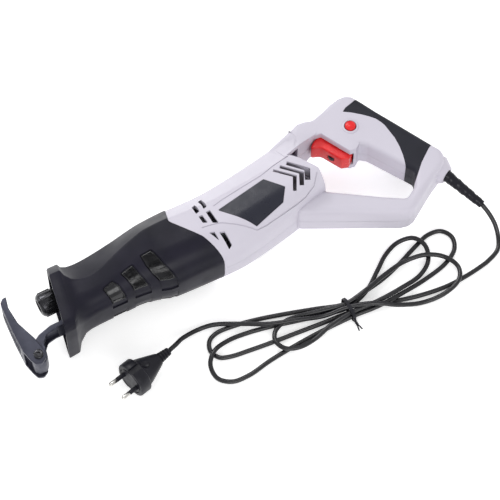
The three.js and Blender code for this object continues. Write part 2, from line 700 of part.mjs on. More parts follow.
place('nose_boot', noseBoot(), rubber);
place('trigger', trigger(), redPlastic);
place('speed_dial', speedDial(), blackPlastic);
place('lock_button', lockButton(), redPlastic);
place('switch_module', switchModule(), blackPlastic);
place('capacitor', capacitor(), capacitorCase);

place('gear_case', gearCase(), aluminium);
place('gear_cover', gearCover(), aluminium);
place('plunger', plunger(), steel);
place('front_bushing', ring('x', 10, plungerR + gap, 46, 110, nose), brass);
place('plunger_seal', ring('x', 10, plungerR + gap, 38, 45.4, nose), rubber);
place('chuck_body', chuckBody(), blackSteel);
place('release_collar', releaseCollar(), blackSteel);
place('shoe_arm', shoeArm(), gunmetal);
place('shoe', shoe(), gunmetal);
place('shoe_pin', shoePin(), blackSteel);

place('crank_gear', crankGear(), steel);
place('gear_shaft', bar('y', 5, -33.6, -21.4, [gearX, mid]), steel);
place('gear_bearing', ring('y', 11, 5.3, -33.6, -28.6, [gearX, mid]), steel);
place('crank_pin', bar('y', 3, -23.6, -15.2, [gearX, mid + strokeHalf], 16), steel);
place('crank_roller', ring('y', 5, 3.3, -20.6, -14.8, [gearX, mid + strokeHalf], 16), steel);
place('armature_shaft', pinionShaft(), steel);
place('armature_core', armatureCore(), laminations);
place('commutator', ring('x', 10.5, 4.3, 248, 262, motor, 24), copper);
place('fan', fan(), blackPlastic);
place('bearing_front', ring('x', 11, 4.3, 183.4, 190.4, motor), steel);
place('bearing_rear', ring('x', 9.5, 4.3, 267, 274, motor), steel);
place('stator_core', statorCore(), laminations);
place('field_coil_upper', fieldCoil(1), copper);
place('field_coil_lower', fieldCoil(-1), copper);
for (const [name, direction] of [['left', 1], ['right', -1]]) {
  place(`brush_holder_${name}`, brushHolder(direction), brass);
  place(`brush_${name}`, brush(direction), carbon);
}

place('strain_relief', strainRelief(), rubber);
place('power_cord', tube(leadIn, cordR, 8, 12), blackPlastic);
place('cord_hank', hank(), blackPlastic);
place('cord_tail', tube(leadOut, cordR, 8, 6), blackPlastic);
place('cord_tie', cordTie(), blackPlastic);
place('plug', plugBody(), blackPlastic);
place('plug_pin_1', plugPin(1), nickel);
place('plug_pin_2', plugPin(-1), nickel);

screwSpots.forEach(([x, y], i) => place(`housing_screw_${i + 1}`, housingScrew(x, y), steel));

export default saw;
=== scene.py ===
"""A corded reciprocating saw lying on its right side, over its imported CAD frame."""

from math import atan2, copysign, cos, pi, radians, sin, tan

import bmesh
import bpy
from mathutils import Matrix, Vector


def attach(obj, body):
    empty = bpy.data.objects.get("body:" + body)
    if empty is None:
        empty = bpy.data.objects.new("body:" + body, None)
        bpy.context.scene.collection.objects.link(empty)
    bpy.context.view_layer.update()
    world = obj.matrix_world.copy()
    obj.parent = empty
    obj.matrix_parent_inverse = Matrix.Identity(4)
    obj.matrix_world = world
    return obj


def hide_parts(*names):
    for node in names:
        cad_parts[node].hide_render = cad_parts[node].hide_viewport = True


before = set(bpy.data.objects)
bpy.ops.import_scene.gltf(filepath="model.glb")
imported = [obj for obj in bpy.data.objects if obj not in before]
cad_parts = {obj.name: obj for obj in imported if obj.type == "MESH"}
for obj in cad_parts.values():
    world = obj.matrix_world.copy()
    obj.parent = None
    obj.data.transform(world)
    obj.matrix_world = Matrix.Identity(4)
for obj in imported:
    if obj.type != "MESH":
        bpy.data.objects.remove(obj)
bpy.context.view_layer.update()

# The saw's own frame, in millimetres: +X back along the plunger, +Y to the top of the
# handle, +Z out of the left side. ORIGIN is where the row frame has its origin.
ORIGIN = (192.745, -14.3)
MID = 40.0            # height of the parting plane
GAP = 0.3             # between pieces that touch
WALL = 3.0
CORD_D = 4.8          # the lead's diameter
GRIP = (0.437, -0.9)  # along the grip, towards the tail
PULL = (0.9, 0.437)   # the way the trigger goes in
LOOP_HALF = 18.5      # half thickness of the handle loop
BELOW, ABOVE = -10, 90    # heights clear of the saw, for tools that cut right through
UP = (0, 0, 1)


def metres(point):
    """A point of the saw's own frame, in the row frame."""
    x, y, z = point
    return Vector(((x - ORIGIN[0]) / 1000, (y - ORIGIN[1]) / 1000, z / 1000))


# ---- camera and lights
AIM = (204.42, -43.55, MID)   # the point of the saw in the middle of the view
CAMERA_AZIMUTH = 28.5         # degrees that the camera stands round to the left
CAMERA_HEIGHT = 62.0          # degrees above the horizon
CAMERA_AWAY = 2.2             # metres
LENS = 158.4


def make_camera():
    a, e = radians(CAMERA_AZIMUTH), radians(CAMERA_HEIGHT)
    look = Vector((sin(a) * cos(e), cos(a) * cos(e), -sin(e)))
    data = bpy.data.cameras.new("camera")
    data.lens = LENS
    data.sensor_width = 36
    camera = bpy.data.objects.new("camera", data)
    camera.location = metres(AIM) - look * CAMERA_AWAY
    camera.rotation_euler = look.to_track_quat("-Z", "Y").to_euler()
    bpy.context.collection.objects.link(camera)
    bpy.context.scene.camera = camera


def area_light(name, place, aim, size, power):
    data = bpy.data.lights.new(name, "AREA")
    data.shape = "RECTANGLE"
    data.size, data.size_y = size
    data.energy = power
    light = bpy.data.objects.new(name, data)
    light.location = place
    light.rotation_euler = (Vector(aim) - Vector(place)).to_track_quat("-Z", "Y").to_euler()
    bpy.context.collection.objects.link(light)


def make_lights():
    middle = (0, 0, 0.03)
    area_light("key", (-0.3, 3.0, 2.6), middle, (1.4, 1.0), 42)
    area_light("front", (-0.6, -3.0, 2.2), middle, (2.4, 1.6), 42)
    area_light("edge", (-2.6, 1.9, 1.1), middle, (0.8, 0.8), 14)
    # a small lamp near the saw, for the soft gleam on the rear of the boot
    area_light("gleam", (0.2, 0.51, 1.14), (-0.075, 0.011, 0.08), (0.3, 0.3), 1.6)
    world = bpy.data.worlds.new("studio")
    world.use_nodes = True
    background = world.node_tree.nodes["Background"]
    background.inputs["Color"].default_value = (1, 1, 1, 1)
    background.inputs["Strength"].default_value = 0.74
    bpy.context.scene.world = world
    bpy.context.scene.view_settings.view_transform = "Standard"


# ---- mesh tools
# Meshes are built in the saw's own frame in millimetres and turned into metres at the end.
def object_of(name, mesh):
    made = bpy.data.objects.new(name, mesh)
    bpy.context.collection.objects.link(made)
    return made


def from_bmesh(name, bm):
    bmesh.ops.remove_doubles(bm, verts=bm.verts, dist=1e-4)
    bmesh.ops.recalc_face_normals(bm, faces=bm.faces)
    mesh = bpy.data.meshes.new(name)
    bm.to_mesh(mesh)
    bm.free()
    return object_of(name, mesh)


def applied(source):
    """The object with its modifiers made real."""
    graph = bpy.context.evaluated_depsgraph_get()
    mesh = bpy.data.meshes.new_from_object(source.evaluated_get(graph))
    source.modifiers.clear()
    old = source.data
    if source.type == "MESH":
        source.data = mesh
        bpy.data.meshes.remove(old)
        return source
    made = object_of(source.name, mesh)
    bpy.data.objects.remove(source)
    return made


def combine(target, tools, operation):
    for tool in tools:
        modifier = target.modifiers.new("combine", "BOOLEAN")
        modifier.operation = operation
        modifier.solver = "MANIFOLD"
        modifier.object = tool
        applied(target)
        bpy.data.objects.remove(tool)
    return target


def cut(target, *tools):
    return combine(target, tools, "DIFFERENCE")


def join(target, *tools):
    return combine(target, tools, "UNION")


def meet(target, tool):
    return combine(target, [tool], "INTERSECT")


def skin(name, rings):
    """A closed surface through rings of points, one after another."""
    bm = bmesh.new()
    rows = [[bm.verts.new(point) for point in ring] for ring in rings]
    count = len(rows[0])
    for one, two in zip(rows, rows[1:]):
        for i in range(count):
            j = (i + 1) % count
            bm.faces.new((one[i], one[j], two[j], two[i]))
    bm.faces.new(rows[0])
    bm.faces.new(rows[-1])
    return from_bmesh(name, bm)


def block(x0, x1, y0, y1, z0, z1):
    ring = [(x0, y0), (x1, y0), (x1, y1), (x0, y1)]
    return skin("block", [[(x, y, z) for x, y in ring] for z in (z0, z1)])


def prism(points, z0=BELOW, z1=ABOVE):
    return skin("prism", [[(x, y, z) for x, y in points] for z in (z0, z1)])


def round_about(sides):
    """The cosine and sine of every angle round a circle."""
    return [(cos(a), sin(a)) for a in (2 * pi * i / sides for i in range(sides))]


def turned(name, profile, place, way, sides=48):
    """A turned piece: (distance along the way, radius) pairs. The ends close on the axis."""
    turn = Vector(way).normalized().to_track_quat("Z", "Y")
    rings = []
    for along, radius in profile:
        ring = [Vector((radius * c, radius * s, along)) for c, s in round_about(sides)]
        rings.append([Vector(place) + turn @ point for point in ring])
    return skin(name, rings)


def bar(radius, start, end, sides=32):
    way = Vector(end) - Vector(start)
    return turned("bar", [(0, radius), (way.length, radius)], start, way, sides)


def post(radius, place, z0, z1, sides=32):
    """A bar that stands upright between two heights."""
    return bar(radius, (*place, z0), (*place, z1), sides)


def corner(points, i):
    """A corner of an outline, and the ways from it to the one before and the one after."""
    here = Vector(points[i])
    return here, Vector(points[i - 1]) - here, Vector(points[(i + 1) % len(points)]) - here


def filleted(points, radius, steps=5):
    """An outline with rounded corners. radius is one number, or one for each point."""
    radii = radius if hasattr(radius, "__len__") else [radius] * len(points)
    out = []
    for i, r in enumerate(radii):
        here, before, after = corner(points, i)
        half = before.angle(after) / 2
        reach = min(r / tan(half), 0.48 * before.length, 0.48 * after.length)
        start, end = here + before.normalized() * reach, here + after.normalized() * reach
        for k in range(steps + 1):
            t = k / steps
            out.append((1 - t) ** 2 * start + 2 * t * (1 - t) * here + t * t * end)
    return [tuple(point) for point in out]


def rounded_plate(name, outline, half, edge, steps=4, middle=MID):
    """A plate of one outline, reaching half to each side of its middle, with its rims rounded."""
    curve = bpy.data.curves.new(name, "CURVE")
    curve.dimensions = "2D"
    curve.fill_mode = "BOTH"
    curve.extrude = half - edge
    curve.bevel_depth = edge
    curve.bevel_resolution = steps
    curve.offset = -edge
    spline = curve.splines.new("POLY")
    spline.points.add(len(outline) - 1)
    for point, (x, y) in zip(spline.points, outline):
        point.co = (x, y, 0, 1)
    spline.use_cyclic_u = True
    made = applied(object_of(name, curve))
    bm = bmesh.new()
    bm.from_mesh(made.data)
    bpy.data.objects.remove(made)
    bmesh.ops.translate(bm, verts=bm.verts, vec=(0, 0, middle))
    return from_bmesh(name, bm)


def smooth(thing, angle=32):
    thing.data.polygons.foreach_set("use_smooth", [True] * len(thing.data.polygons))
    thing.data.set_sharp_from_angle(angle=radians(angle))
    return thing


def finished(thing, name, body, material, slot, *nodes):
    """The piece under its own name, in metres, riding on its body in place of CAD nodes."""
    thing.name = thing.data.name = name
    place = Matrix.Translation(metres((0, 0, 0))) @ Matrix.Scale(0.001, 4)
    thing.data.transform(place)
    thing.data.materials.clear()
    thing.data.materials.append(material)
    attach(thing, body)
    if nodes:
        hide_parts(*nodes)
    return thing


# ---- materials
NOISE_LOW, NOISE_HIGH = 0.3, 0.7    # most values of a noise lie between these


class Surface:
    """One procedural material: a principled shader with noise in its colour, gloss and relief."""

    def __init__(self, name, colour, roughness, metallic=0.0):
        self.material = bpy.data.materials.new(name)
        self.material.use_nodes = True
        self.tree = self.material.node_tree
        self.shader = self.tree.nodes["Principled BSDF"]
        self.colour = colour
        self.place = self.tree.nodes.new("ShaderNodeTexCoord").outputs["Object"]
        self.normal = None
        self.set(Base_Color=(*colour, 1), Roughness=roughness, Metallic=metallic)

    def put(self, node, values):
        """Give a node's inputs their values, or link them; _ in a name stands for a space."""
        for name, value in values.items():
            socket = node.inputs[name.replace("_", " ")]
            if isinstance(value, bpy.types.NodeSocket):
                self.tree.links.new(value, socket)
            else:
                socket.default_value = value
        return node

    def set(self, **values):
        self.put(self.shader, values)
        return self

    def node(self, kind, **values):
        return self.put(self.tree.nodes.new("ShaderNode" + kind), values)

    def noise(self, size, detail=3, stretch=None):
        """Noise whose blobs are about size metres across."""
        where = self.place
        if stretch:
            where = self.node("Mapping", Vector=where, Scale=stretch).outputs["Vector"]
        return self.node("TexNoise", Vector=where, Scale=1 / size, Detail=detail).outputs["Fac"]

    def pits(self, size):
        return self.node("TexVoronoi", Vector=self.place, Scale=1 / size).outputs["Distance"]

    def wave(self, scale, direction="X", distortion=0.0):
        bands = self.node("TexWave", Vector=self.place, Scale=scale, Distortion=distortion)
        bands.bands_direction = direction
        return bands.outputs["Fac"]

    def tint(self, value, other):
        """The colour moves towards another one where value is high."""
        ramp = self.node("ValToRGB", Fac=value)
        low, high = ramp.color_ramp.elements
        low.position, low.color = NOISE_LOW, (*self.colour, 1)
        high.position, high.color = NOISE_HIGH, (*other, 1)
        return self.set(Base_Color=ramp.outputs["Color"])

    def gloss(self, value, low, high):
        spread = self.node(
            "MapRange", Value=value, From_Min=NOISE_LOW, From_Max=NOISE_HIGH, To_Min=low, To_Max=high,
        )
        return self.set(Roughness=spread.outputs["Result"])

    def relief(self, value, depth):
        """Bump of about depth metres, over the soft edges if there are any."""
        bump = self.node("Bump", Height=value, Distance=depth, Strength=1.0)
        if self.normal:
            self.put(bump, {"Normal": self.normal})
        return self.set(Normal=bump.outputs["Normal"])

    def soft_edges(self, radius):
        """Light catches the edges as if they had a small radius."""
        bevel = self.node("Bevel", Radius=radius)
        bevel.samples = 4
        self.normal = bevel.outputs["Normal"]
        return self


def shell_plastic():
    s = Surface("shell_plastic", (0.57, 0.545, 0.62), 0.42).soft_edges(0.0006)
    s.tint(s.noise(0.05, 5), (0.55, 0.525, 0.60))
    s.gloss(s.noise(0.012, 4), 0.38, 0.48)
    s.relief(s.noise(0.0006, 2), 0.000012)
    return s.set(Specular_IOR_Level=0.35).material


def boot_rubber():
    s = Surface("boot_rubber", (0.007, 0.007, 0.013), 0.5).soft_edges(0.0008)
    s.tint(s.noise(0.03, 5), (0.013, 0.012, 0.022))
    s.gloss(s.noise(0.02, 5), 0.28, 0.44)
    s.relief(s.noise(0.0009, 2), 0.00002)
    return s.set(Specular_IOR_Level=0.16).material


def pocket_gloss():
    s = Surface("pocket_gloss", (0.002, 0.002, 0.003), 0.14).soft_edges(0.001)
    s.tint(s.noise(0.01, 3), (0.004, 0.004, 0.007))
    s.gloss(s.noise(0.008, 3), 0.1, 0.2)
    s.relief(s.noise(0.004, 2), 0.00006)
    return s.material


def grip_rubber():
    s = Surface("grip_rubber", (0.01, 0.0105, 0.017), 0.55)
    s.tint(s.noise(0.02, 5), (0.016, 0.0165, 0.025))
    s.gloss(s.noise(0.01, 4), 0.44, 0.6)
    s.relief(s.pits(0.0011), 0.0001)
    return s.set(Specular_IOR_Level=0.25).material


def red_gloss():
    s = Surface("red_gloss", (0.66, 0.012, 0.016), 0.25).soft_edges(0.0005)
    s.tint(s.noise(0.012, 4), (0.78, 0.03, 0.03))
    s.gloss(s.noise(0.006, 3), 0.16, 0.3)
    s.relief(s.noise(0.003, 2), 0.00002)
    return s.set(Specular_IOR_Level=0.3).material


def plate_gloss():
    s = Surface("plate_gloss", (0.011, 0.012, 0.022), 0.3)
    s.tint(s.noise(0.03, 4), (0.015, 0.016, 0.028))
    s.gloss(s.noise(0.01, 4), 0.24, 0.36)
    s.relief(s.noise(0.0008, 2), 0.000006)
    return s.set(Specular_IOR_Level=0.35).material


def moulded_black(name="moulded_black", roughness=(0.3, 0.48)):
    s = Surface(name, (0.007, 0.007, 0.011), 0.4)
    s.tint(s.noise(0.015, 4), (0.012, 0.012, 0.018))
    s.gloss(s.noise(0.006, 4), *roughness)
    s.relief(s.noise(0.0007, 2), 0.00002)
    return s.set(Specular_IOR_Level=0.25).material


def cord_sheath():
    s = Surface("cord_sheath", (0.006, 0.006, 0.008), 0.3)
    s.tint(s.noise(0.02, 4), (0.011, 0.011, 0.014))
    s.gloss(s.noise(0.01, 4), 0.2, 0.36)
    s.relief(s.noise(0.002, 2), 0.00003)
    return s.material


def shoe_paint():
    s = Surface("shoe_paint", (0.035, 0.037, 0.055), 0.38, 0.6).soft_edges(0.0006)
    s.tint(s.noise(0.015, 5), (0.055, 0.057, 0.08))
    s.gloss(s.noise(0.006, 5), 0.3, 0.5)
    s.relief(s.noise(0.0008, 3), 0.00003)
    return s.material


def black_oxide():
    s = Surface("black_oxide", (0.03, 0.03, 0.034), 0.25, 0.85).soft_edges(0.0004)
    s.tint(s.noise(0.006, 5), (0.06, 0.06, 0.066))
    s.gloss(s.noise(0.003, 4), 0.16, 0.34)
    s.relief(s.noise(0.0005, 2), 0.00001)
    return s.material


def turned_steel(name, colour, roughness):
    s = Surface(name, colour, roughness, 1.0)
    s.tint(s.noise(0.004, 5), tuple(0.8 * c for c in colour))
    s.gloss(s.noise(0.002, 4, (1, 6, 6)), roughness * 0.7, roughness * 1.4)
    s.relief(s.noise(0.0004, 2, (1, 8, 8)), 0.000012)
    return s.material


def cast_alloy():
    s = Surface("cast_alloy", (0.42, 0.43, 0.45), 0.5, 0.9)
    s.tint(s.noise(0.008, 6), (0.34, 0.35, 0.37))
    s.gloss(s.noise(0.003, 4), 0.4, 0.62)
    s.relief(s.pits(0.0012), 0.00006)
    return s.material


def sheet_stack():
    s = Surface("sheet_stack", (0.2, 0.2, 0.22), 0.45, 0.8)
    sheets = s.wave(320)
    s.tint(sheets, (0.12, 0.12, 0.13))
    s.gloss(s.noise(0.004, 4), 0.35, 0.55)
    s.relief(sheets, 0.0001)
    return s.material


def winding():
    s = Surface("winding", (0.45, 0.17, 0.06), 0.35, 0.7)
    wires = s.wave(260, "Y", 1.5)
    s.tint(wires, (0.25, 0.08, 0.03))
    s.gloss(s.noise(0.004, 4), 0.25, 0.45)
    s.relief(wires, 0.0002)
    return s.material


def floor_paper():
    s = Surface("floor_paper", (0.93, 0.93, 0.93), 0.9)
    s.tint(s.noise(0.3, 3), (0.95, 0.95, 0.95))
    return s.set(Specular_IOR_Level=0.1, Emission_Strength=0.45, Emission_Color=(1, 1, 1, 1)).material


# ---- body and boot shapes
# One station: place along X, lean, top, bottom, half width, the top chamfer along Y and Z,
# and the radius of the lower corners.
BODY = [
    (120, 0, 29.2, -48.6, 39.6, 21, 23, 30), (132, 0, 29.2, -48.6, 39.6, 21, 23, 30),
    (176, 0, 29.2, -50.2, 40, 24, 26, 30), (200, 0, 30.5, -49.6, 40, 25, 26, 30),
    (250, 0, 37.5, -40, 40, 28, 26, 26), (282, 0, 42.5, -31.5, 40, 30, 25, 22),
    (299, 0, 42.5, -28.5, 40, 30, 25, 20),
]
BOOT = [
    (20, 0.18, 21.6, -45.5, 32.6, 18, 16, 16), (26, 0.15, 20.2, -42, 31, 23, 16, 22),
    (40, 0.08, 20.2, -39.5, 30, 28, 17, 28), (62, 0, 21.6, -39.8, 31.2, 26, 18, 28),
    (84, 0, 24, -40.8, 33.6, 21.5, 19, 28), (103, 0, 26.6, -43.6, 36.2, 19.5, 20, 29),
    (114, 0, 27.8, -47.4, 38, 19, 21, 30), (140, 0, 29.2, -48.8, 39.6, 21, 23, 30),
    (176, 0, 29.2, -50.2, 39.6, 24, 26, 30),
]
BOOT_EDGE = [(148, 60), (146.5, 29), (138.5, 5), (161, -26), (177, -60)]
BOOT_EDGE_RADII = [0, 3, 6, 12, 0]


def beside_boot_edge(far_x, shift=0.0):
    """The outline of everything between the boot's rear edge and a place along X."""
    edge = [(x + shift, y) for x, y in BOOT_EDGE]
    return filleted([*edge, (far_x, -60), (far_x, 60)], [*BOOT_EDGE_RADII, 0, 0])


def arc_corners(points, radii, steps):
    """An outline whose corners are true arcs of the given radii, each in its number of steps."""
    out = []
    for i, (radius, parts) in enumerate(zip(radii, steps)):
        here, before, after = corner(points, i)
        half = before.angle(after) / 2
        reach = min(radius / tan(half), 0.62 * before.length, 0.62 * after.length)
        r = reach * tan(half)
        middle = here + (before.normalized() + after.normalized()).normalized() * (r / sin(half))
        start = here + before.normalized() * reach - middle
        end = here + after.normalized() * reach - middle
        sweep = pi - 2 * half
        for k in range(parts + 1):
            t = k / parts
            turn = (sin((1 - t) * sweep) * start + sin(t * sweep) * end) / sin(sweep)
            out.append(middle + turn)
    return [tuple(point) for point in out]


def section(station, inset=0.0, ridge=6.0):
    x, lean, top, bottom, half, chamfer_y, chamfer_z, radius = station
    t, b, h = top - inset, bottom + inset, half - inset
    corners = [
        (t, h - chamfer_z), (t - chamfer_y, h), (b, h),
        (b, -h), (t - chamfer_y, -h), (t, chamfer_z - h),
    ]
    low = max(radius - inset, 2)
    ring = arc_corners(corners, [ridge, ridge, low, low, ridge, ridge], [4, 4, 9, 9, 4, 4])
    return [(x + lean * (y + 14), y, MID + z) for y, z in ring]


def eased(stations, spacing):
    """The stations with smooth ones between them, about spacing apart."""
    out = []
    slopes = []
    for i in range(len(stations)):
        a, b = stations[max(i - 1, 0)], stations[min(i + 1, len(stations) - 1)]
        slopes.append([(q - p) / (b[0] - a[0]) for p, q in zip(a, b)])
    for (a, b), (m, n) in zip(zip(stations, stations[1:]), zip(slopes, slopes[1:])):
        width = b[0] - a[0]
        parts = max(1, round(width / spacing))
        for k in range(parts):
            t = k / parts
            h = (2 * t**3 - 3 * t**2 + 1, t**3 - 2 * t**2 + t, 3 * t**2 - 2 * t**3, t**3 - t**2)
            row = [
                h[0] * p + h[1] * width * u + h[2] * q + h[3] * width * v
                for p, u, q, v in zip(a, m, b, n)
            ]
            out.append((a[0] + t * width, *row[1:]))
    return [*out, stations[-1]]


def long_body(name, stations, inset=0.0, spacing=6.0):
    return skin(name, [section(station, inset) for station in eased(stations, spacing)])


# ---- handle loop
LOOP_OUTSIDE = [
    (262, 20), (270, 40.5), (300, 50.5), (312, 54.5), (320, 53.6), (328, 51), (341, 54.6),
    (353, 58.8), (363, 61), (371.5, 60.6), (378, 56.5), (384, 44), (391, 28.5), (399.5, 11.5),
    (410.5, -11), (420.5, -31.5), (425.5, -41), (426, -47), (421.5, -56.5), (412, -62.5),
    (402, -67.5), (392, -73.5), (378, -82.5), (369, -88), (362, -89.6), (354, -87.6),
    (326.6, -73), (291, -54), (262, -38.5),
]
HAND_HOLE = [
    (279, 16.5), (303, 27.5), (322, 33.5), (331, 33), (347, 1.5), (356.5, 1.5), (362.5, -3.5),
    (369.8, -16), (378.6, -31.6), (384.5, -41.6), (390, -51.5), (381, -66), (367.5, -74.5),
    (345, -60), (299, -28), (298.5, -12.6), (288, 6),
]
HOLE_RADII = [5, 8, 8, 7, 7, 5, 9, 12, 12, 9, 6, 6, 8, 9, 7, 6, 7]
LOOP_EDGE = 5.6       # radius of the loop's rims; the strut is too thin for more
RIM_STEPS = 6
# The handle's flat side beside the trigger.
CHEEK = [
    (312, 30), (320, 32.5), (327.4, 31.6), (343.4, -0.4), (350, -1.5), (357, 3), (352, 42),
    (330, 46), (312, 44),
]
CHEEK_HALF = 18.4
# The ridge from the body into the top bar: at each X the height and half width of its top, the
# same of its lower edge, and the height of its underside.
SHOULDER = [
    (276, 41.5, 15, 13.5, 39.6, 12), (290, 46.5, 14, 22, 32.5, 21.6), (303, 51, 12.9, 28, 26, 27.5),
    (315, 53.6, 12.9, 32.5, 20.5, 31.5), (324, 52, 12.9, 35.5, 18.5, 33.6),
]
PAD_REGION = [
    (360.4, 43.6), (367, 39), (375.4, 31.7), (381, 26), (385.7, 20.4), (388.5, 14), (389.9, 9.1),
    (391.4, -8.6), (390.5, -20), (388.4, -30.5), (384.2, -44.9), (379.8, -52.5), (376, -58),
    (383.4, -62.2), (391.8, -54.6), (400.7, -46.1), (414.7, -35.8), (440, -22), (440, 60),
    (392, 54.5), (374.2, 48.6), (364.5, 46.2),
]
EXIT = (421.5, -64, MID)          # the lead's way out of the tail
EXIT_WAY = (18.3, -40.2, -12)
TAIL_WAY = (*GRIP, 0)


def offset_outline(points, distance):
    """The outline moved inwards by a distance, corner by corner."""
    area = sum(a[0] * b[1] - b[0] * a[1] for a, b in zip(points, points[1:] + points[:1]))
    side = 1 if area > 0 else -1
    out = []
    for i in range(len(points)):
        here, before, after = corner(points, i)
        normals = [Vector((-d.y, d.x)).normalized() * side for d in (-before, after)]
        bisector = (normals[0] + normals[1]).normalized()
        out.append(tuple(here + bisector * (distance / max(0.5, bisector.dot(normals[0])))))
    return out


def loop(name, inset=0.0):
    """The handle's loop with round rims, shrunk all round by an inset."""
    outside, hole = filleted(LOOP_OUTSIDE, 8), filleted(HAND_HOLE, HOLE_RADII)
    h = LOOP_HALF - inset
    edge = max(LOOP_EDGE - inset, 0.6)
    angles = [pi / 2 * k / RIM_STEPS for k in range(RIM_STEPS + 1)]
    lower = [(MID - h + edge * (1 - cos(a)), inset + edge * (1 - sin(a))) for a in angles]
    levels = lower + [(2 * MID - z, shrink) for z, shrink in reversed(lower)]
    flared = inset + edge
    beyond = [(MID - 2 * h, flared), *levels, (MID + 2 * h, flared)]
    solid = skin(name, [[(x, y, z) for x, y in offset_outline(outside, d)] for z, d in levels])
    way = skin("way", [[(x, y, z) for x, y in offset_outline(hole, -d)] for z, d in beyond])
    return cut(solid, way)


# ---- openings of the shells
SLOTS = [
    [(166.5, 8.4), (171.5, 11.4), (171.2, -0.1), (166.8, -1.3)],
    [(177, 15.4), (181.4, 16.8), (180, 1.2), (175.9, 0.1)],
    [(167.5, -4.8), (171.5, -5.2), (172.4, -15.4), (168, -13.3)],
    [(176.2, -4), (180.7, -3.8), (181.8, -20.7), (176.6, -18)],
    [(168.3, -25.6), (173.5, -27), (174.2, -37)],
    [(177.4, -29.4), (182.6, -30.9), (184.2, -43.5), (180, -45.5)],
]
# The bent vents: the corners of the outer edge, and the width.
CHEVRONS = [
    ([(258.6, 6.9), (275.5, -10.3), (267.8, -24)], 3.4),
    ([(266.6, 7.8), (283.8, -10.1), (277.4, -22)], 4.2),
    ([(274.8, 8.6), (291.4, -9.3), (285.9, -19.8)], 5.2),
]
BADGE = [(188, -8), (244, 1.5), (259, -16), (250, -28.5), (215, -38)]
TRIGGER = [
    (330, 36.5), (318, 31), (311.5, 25.4), (322, 21.5), (333.6, -1), (341, -3.6), (347.6, 1),
    (351.6, 6.4), (339.2, 32.8),
]
TRIGGER_RADII = [1, 1.5, 2.5, 9, 3, 2.5, 1.5, 1, 1]
TRIGGER_TRAVEL = 6
TRIGGER_HALF = 10
LOCK = (358, 24.8)
SCREWS = [
    (188, 22), (262, 31.5), (190, -42), (262, -31), (306, 41), (374, 49), (406, -35), (391, -66),
    (352, -79), (284, -44),
]


def bent_slot(corners, width):
    (ax, ay), (bx, by), (cx, cy) = corners
    return [
        (ax, ay), (bx, by), (cx, cy), (cx - width, cy + 0.35 * width),
        (bx - 1.25 * width, by + 0.1 * width), (ax - 0.55 * width, ay - 0.62 * width),
    ]


def strip(points, width, z0, z1):
    """A thin ribbon along a row of points, to engrave a line with."""
    left, right = [], []
    for i, here in enumerate(points):
        before = Vector(points[max(i - 1, 0)])
        after = Vector(points[min(i + 1, len(points) - 1)])
        way = (after - before).normalized()
        side = Vector((-way.y, way.x)) * width / 2
        left.append(tuple(Vector(here) + side))
        right.append(tuple(Vector(here) - side))
    return prism(left + right[::-1], z0, z1)


# ---- housing
LEFT_HALF = (-100, 600, -200, 200, MID + 0.15, 200)
RIGHT_HALF = (-100, 600, -200, 200, -100, MID - 0.15)
PANEL_LINE = [
    (164.5, -17.8), (174.7, -19.4), (184, -22), (199.6, -31.6), (213.8, -40.7), (225, -39.9),
    (237, -37.8), (249, -35.9), (261.8, -33.5), (274.5, -30.3), (287, -25.2), (295.5, -16),
]
UPPER_LINE = [
    (186, -1.8), (196, 0.4), (219, 3.4), (243, 6.2), (252, 8.4), (260, 10.8), (279, 14.2),
]
# The neck at the tail: distance towards the lead's way out, and radius.
NECK = [
    (-22, 15.2), (-10.4, 15.6), (-9.4, 15.3), (-8.8, 14.4), (-7.6, 13.9), (-0.8, 9.6), (0, 8.8),
]
NECK_HOLLOW = [(-21, 11.5), (-9.5, 11.5), (-3, 6)]
# The body's slanting rear end: its wall, and the open space behind it.
REAR_WALL = [(272, 19), (281.5, 3.5), (293, -15), (299.2, -12.6), (288, 6), (279, 16.4)]
REAR_SPACE = [(279, 16.4), (288, 6), (299.2, -12.6), (335, -12.6), (326, 28.3), (303, 27.3)]
BOSS_R, DRIVER_R, SCREW_R = 4.2, 2.9, 1.5
BOSS_IN_HANDLE, BOSS_IN_BODY = 16.5, 30    # how far the bosses reach from the middle plane
LOCK_R = 6.2
LOCK_RIM = [(0, 8.8), (1.9, 8.8), (2.5, 8.5), (2.8, 7.9), (2.8, 6.4), (0, 6.2)]


def halves(whole):
    """The left and the right half of a piece, parted on the middle plane."""
    twin = whole.copy()
    twin.data = whole.data.copy()
    bpy.context.collection.objects.link(twin)
    return (meet(whole, block(*LEFT_HALF)), "left"), (meet(twin, block(*RIGHT_HALF)), "right")


def engraved(points, width, depth):
    """A groove that follows the body's surface on the left side: what to cut away."""
    return cut(strip(points, width, MID + 4, ABOVE), long_body("under", BODY, depth, 12))


def both_sides(points):
    """The same opening through the left side and through the right one."""
    return [prism(points, MID + 20, ABOVE), prism(points, BELOW, MID - 20)]


def grip_bed(depth, margin):
    ring = cut(loop("bed", -2), loop("bed_floor", depth))
    return meet(ring, prism(offset_outline(PAD_REGION, -margin)))


def trigger_way(distance):
    moved = [(x + PULL[0] * distance, y + PULL[1] * distance) for x, y in TRIGGER]
    half = TRIGGER_HALF + 0.7
    return prism(offset_outline(moved, -0.8), MID - half, MID + half)


def shoulder():
    rings = []
    for x, top, top_half, low, low_half, under in SHOULDER:
        side = [(top, top_half), (low, low_half), (under, low_half)]
        ring = [(x, y, MID + half) for y, half in side] + [(x, y, MID - half) for y, half in side[::-1]]
        rings.append(ring)
    return skin("shoulder", rings)


